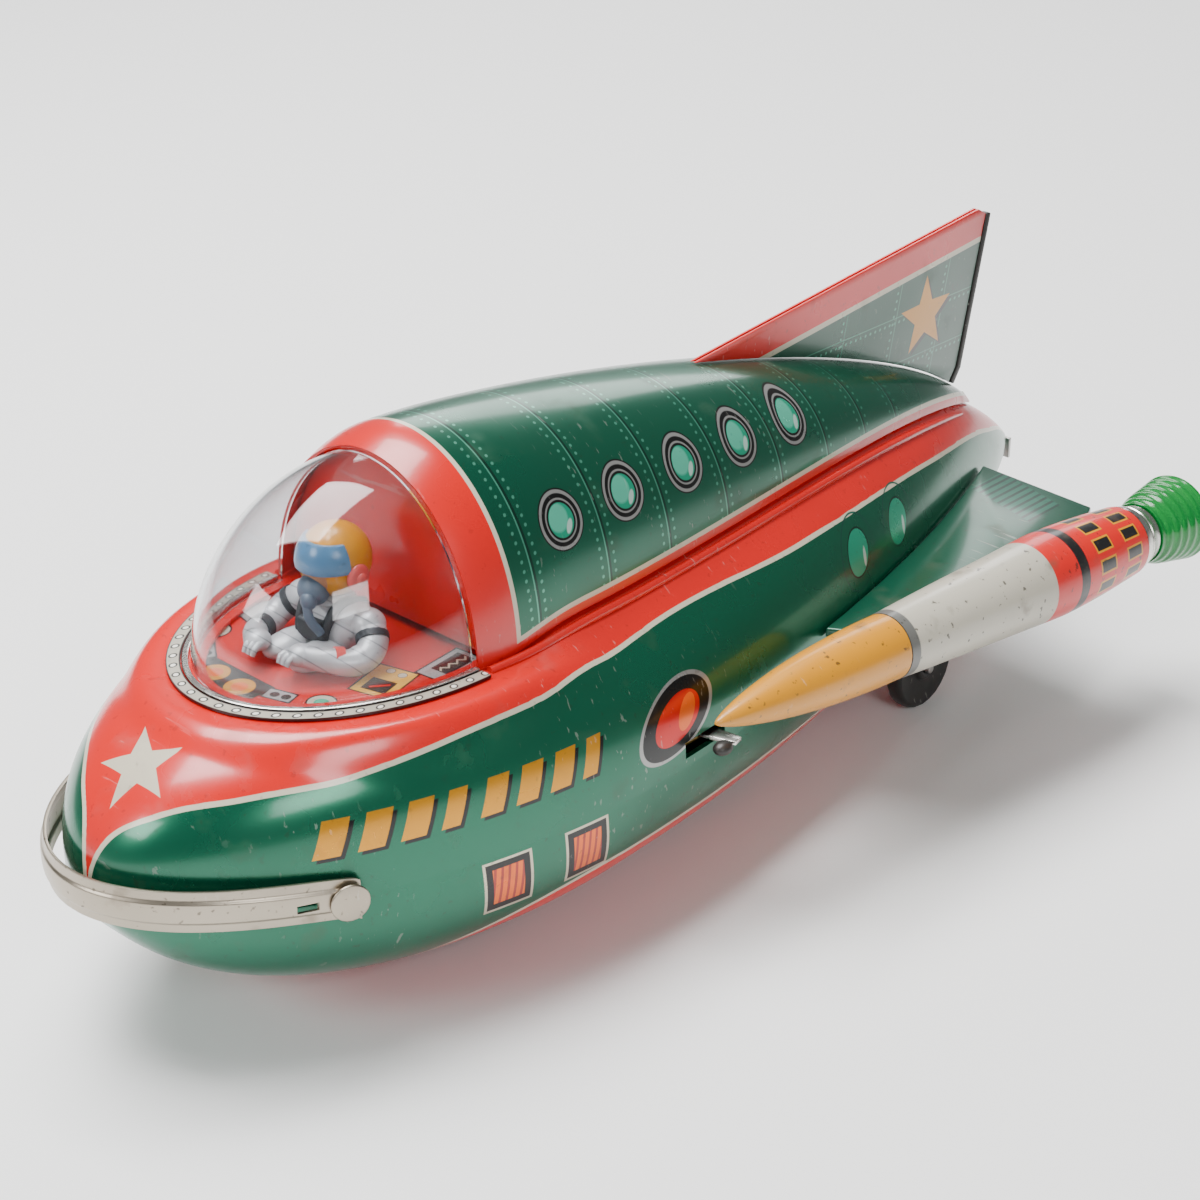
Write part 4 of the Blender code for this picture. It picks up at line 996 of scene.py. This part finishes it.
# Rocket pods. Each is a lathe-spun tin tube: a yellow tip, a cream and red printed barrel, a nickel collar
# and a ribbed nozzle moulded in clear green plastic round a small lamp.


def spun(name, side, start, end, radius, rows, wall):
    """A piece turned about the axis of one pod between two distances from its tip."""
    tip, tail = at(side * 67.5, 131, 58.5), at(side * 75.2, 292, 51.7)
    axis = (tail - tip).normalized()
    across = Vector((0, 0, 1)).cross(axis).normalized()
    up = axis.cross(across)

    def point(u, v):
        along = start + (end - start) * v
        turn = math.tau * u
        return tip + axis * along * MM + (across * math.cos(turn) + up * math.sin(turn)) * radius(along) * MM

    piece = cleaned(skin(name, 64, rows, point), 0.02)
    walled(piece, wall)
    noted(piece, "pod_place", lambda place: [(place - tip).dot(way) / MM for way in (across, up, axis)])
    return shaded(piece, 40)


BARREL = [(62.3, 8.7), (85, 9.9), (110, 11.0), (122, 11.6), (130, 11.8), (145, 11.2), (161, 10.0)]
NOZZLE = [(169.6, 8.6), (172, 9.2), (176, 10.4), (181, 11.2), (187, 12.2)]
yellow_tin = Wiring("yellow_litho").aged((0.62, 0.25, 0.001), 0.33, 0.0, 0.5, 0.35, 0.05, 1.0)
ink = Wiring("printed_barrel")
across, up, along = ink.noted_triple("pod_place")
turns = ink.times(ink.sums("ARCTAN2", up, across), 12 / math.tau)
paint = ink.over((0.47, 0.44, 0.36), (0.12, 0.12, 0.11), ink.below(along, 65.2, 0.3))
paint = ink.over(paint, RED, ink.below(118.4, along, 0.2))
paint = ink.over(paint, BLACK, ink.within(along, 128.2, 132.0))
cell = ink.times(ink.beat(turns, 1.0), 5.9)
for middle in (141.0, 154.0):
    window = ink.plate(cell, along, (0.0, middle), (1.5, 3.2))
    paint = ink.over(paint, YELLOW, ink.below(window, 0.55))
    paint = ink.over(paint, BLACK, ink.below(window, 0.0))
printed_barrel = ink.aged(paint, 0.33, 0.0, 0.6, 0.35, 0.06, 1.0)
green_clear = Wiring("clear_green_moulding")
streaks = green_clear.clouded(90, (0.01, 0.3, 0.05), (0.005, 0.2, 0.035))
green_clear.put(green_clear.sums("MULTIPLY_ADD", streaks, 0.1, 0.12), green_clear.shader.inputs["Roughness"])
green_clear.shader.inputs["Transmission Weight"].default_value = 0.45
brass = Wiring("dull_brass").aged((0.55, 0.36, 0.12), 0.35, 1.0, 0.6, 0.0, 0.06, 0.7)
lamp_ink = Wiring("lamp_glass")
lamp_ink.clouded(120, (0.9, 0.9, 0.86), (0.8, 0.8, 0.76))
lamp_ink.shader.inputs["Roughness"].default_value = 0.08
lamp_ink.shader.inputs["Transmission Weight"].default_value = 0.8


def tip_radius(along):
    return 8.6 * math.sin(math.pi / 2 * (along / 62) ** 0.8) ** 0.85


def collar_radius(along):
    groove = 0.25 if abs(along - 165.0) < 0.5 else 0.0
    return 9.7 - 1.5 * smooth_step((along - 161.6) / 7.4) - groove


def nozzle_radius(along):
    return through(NOZZLE, along) - 0.3 * (0.5 - 0.5 * math.cos(math.tau * (along - 187.0) / 2.9))


for side, word in ((1, "left"), (-1, "right")):
    tip = spun(f"pod_tip_{word}", side, 0.0, 62.0, tip_radius, 60, 0.7)
    fitted(tip, yellow_tin, "hull", f"pod_nose_{word}", slot="yellow_tin")
    barrel = spun(f"pod_tube_{word}", side, 62.3, 161.0, lambda along: through(BARREL, along), 60, 0.8)
    fitted(barrel, printed_barrel, "hull", f"pod_barrel_{word}", slot="cream_tin")
    collar = spun(f"pod_collar_{word}", side, 161.6, 169.0, collar_radius, 30, 0.8)
    fitted(collar, nickel, "hull", f"pod_ring_{word}", slot="nickel")
    nozzle = spun(f"pod_flare_{word}", side, 169.6, 187.0, nozzle_radius, 72, 1.2)
    fitted(nozzle, green_clear.material, "hull", f"pod_nozzle_{word}", slot="green_plastic")
    recut(f"pod_lamp_{word}", lamp_ink.material, "hull", "lamp_glass", 0, 60)
    recut(f"pod_lamp_holder_{word}", brass, "hull", "brass", 0.2)

# Wings. A flat dark green box of folded tin on each side carries the pod, with a pressed and ribbed flap.
ink = Wiring("printed_wing")
x, side, station, z = ink.places()
swept = ink.sums("MULTIPLY_ADD", side, 0.3, station)
flap = ink.both(ink.within(side, 28.0, 53.0), ink.within(swept, 297.0, 312.0))
rib = ink.within(ink.sums("FRACT", ink.shared(side, 2.6)), 0.0, 0.4, 0.1)
paint = ink.over((0.001, 0.07, 0.036), (0.004, 0.12, 0.07), flap)
paint = ink.over(paint, (0.001, 0.02, 0.012), ink.both(flap, rib))
printed_wing = ink.aged(paint, 0.3, 0.35, 0.6, 0.4, 0.05, 0.5)
for word in ("left", "right"):
    recut(f"wing_{word}", printed_wing, "hull", "green_tin", 0.5)

# Bumper. A springy nickelled strip bent round the nose, with a raised channel pressed along it, held off
# the hull by a round riveted tab at each end.


def bumper_point(u, v):
    share = 2.0 * u - 1.0
    mark = 0.06 + 41.0 * abs(share) ** 2.2
    slope = (beam(mark + 0.05) - beam(max(0.0, mark - 0.05))) / 0.1
    lean = math.hypot(1.0, slope)
    channel = smooth_step((0.3 - abs(v - 0.5)) / 0.08)
    away = 4.4 - 2.8 * mark / 41.0 + 0.45 * math.sin(math.pi * v) + 0.5 * channel
    foot = 38.0 + 4.4 * math.sqrt(max(0.0, 1.0 - share * share))
    return at(math.copysign(beam(mark) + away / lean, share), mark - away * slope / lean, foot + 10.2 * v)


warm_nickel = Wiring("warm_nickel").aged((0.4, 0.35, 0.28), 0.3, 1.0, 0.8, 0.0, 0.1, 0.7)
strip = skin("bumper_strip", 200, 40, bumper_point)
walled(strip, 0.8)
for right in (-44, 36):
    carved(strip, block("bumper_slot", (right, 26.5, 43.6), (right + 8, 31.0, 45.6)))
rounded(strip, 0.2, 2, 50)
shaded(strip, 40)
fitted(strip, warm_nickel, "hull", "bumper", slot="nickel")
for word in ("left", "right"):
    recut(f"bumper_tab_{word}", warm_nickel, "hull", "nickel", 0.3)

# Running gear. Turned steel axles, moulded wheels, gears and a small can motor in a swivelling steel frame,
# and stamped brackets for the rear axle.
steel = Wiring("worked_steel").aged((0.5, 0.49, 0.47), 0.36, 1.0, 0.8, 0.0, 0.08, 0.6)
black_moulding = Wiring("black_moulding").aged((0.014, 0.013, 0.012), 0.42, 0.0, 0.5, 0.1, 0.08, 0.7)
tyre = Wiring("dusty_rubber").aged((0.022, 0.021, 0.02), 0.75, 0.0, 0.3, 0.0, 0.15, 0.8)
pale_gear = Wiring("pale_gear_moulding").aged((0.62, 0.6, 0.52), 0.42, 0.0, 0.2, 0.1, 0.05, 0.5)
for body, slot, material, bevel, names in (
        ("hull", "steel", steel, 0.15, "rear_bracket_left rear_bracket_right drive_bridge"),
        ("rear_wheels", "steel", steel, 0.2, "rear_axle"),
        ("rear_wheels", "black_plastic", black_moulding, 0.6, "rear_wheel_left rear_wheel_right"),
        ("drive_unit", "steel", steel, 0.15, "drive_motor turntable_frame pivot_pin"),
        ("drive_wheels", "steel", steel, 0.15, "drive_axle"),
        ("drive_wheels", "rubber", tyre, 0.5, "drive_wheel_left drive_wheel_right"),
        ("drive_wheels", "brass", brass, 0, "drive_gear"),
        ("layshaft", "steel", steel, 0.15, "layshaft"),
        ("layshaft", "gear_plastic", pale_gear, 0, "layshaft_gear"),
        ("motor_rotor", "brass", brass, 0, "motor_pinion"),
        ("motor_rotor", "steel", steel, 0.15, "motor_shaft")):
    for name in names.split():
        recut(name, material, body, slot, bevel)

# Switch, battery box and small fittings. A bent nickel lever on a rivet, spring contacts, two jacketed cells
# in a black moulded box, a green tin door held by one screw, and the tab at the tail.
ink = Wiring("cell_jacket")
x, side, station, z = ink.places()
wrap = ink.over((0.42, 0.43, 0.45), (0.02, 0.05, 0.16), ink.below(185.0, station, 0.3))
jacket = ink.aged(wrap, 0.35, 0.4, 0.4, 0.3, 0.03, 0.3)
green_tin = Wiring("plain_green_litho").aged(GREEN, 0.28, 0.5, 0.7, 0.4, 0.05, 0.5)
for body, slot, material, bevel, names in (
        ("switch_lever", "nickel", nickel, 0.2, "switch_lever"),
        ("hull", "brass", brass, 0.1, "switch_plate battery_contact_front battery_contact_rear"),
        ("hull", "nickel", nickel, 0.3, "switch_rivet"),
        ("hull", "black_plastic", black_moulding, 0.3, "battery_box"),
        ("hull", "battery_jacket", jacket, 0.4, "battery_left battery_right"),
        ("battery_door", "green_tin", green_tin, 0.25, "battery_door"),
        ("battery_door", "nickel", nickel, 0.2, "door_screw"),
        ("hull", "steel", steel, 0.2, "tail_tab")):
    for name in names.split():
        recut(name, material, body, slot, bevel)
# painted shade: a dark ball in the dark tin finish fills the lever slot and stands for the shadow in it
# beside the nickel lever
slot_shadow_ball = ball("lever_slot_shadow_ball", (63.8, 138.8, 47.3), (2.2, 2.8, 1.7))
fitted(slot_shadow_ball, dark_tin, "switch_lever", slot="nickel")
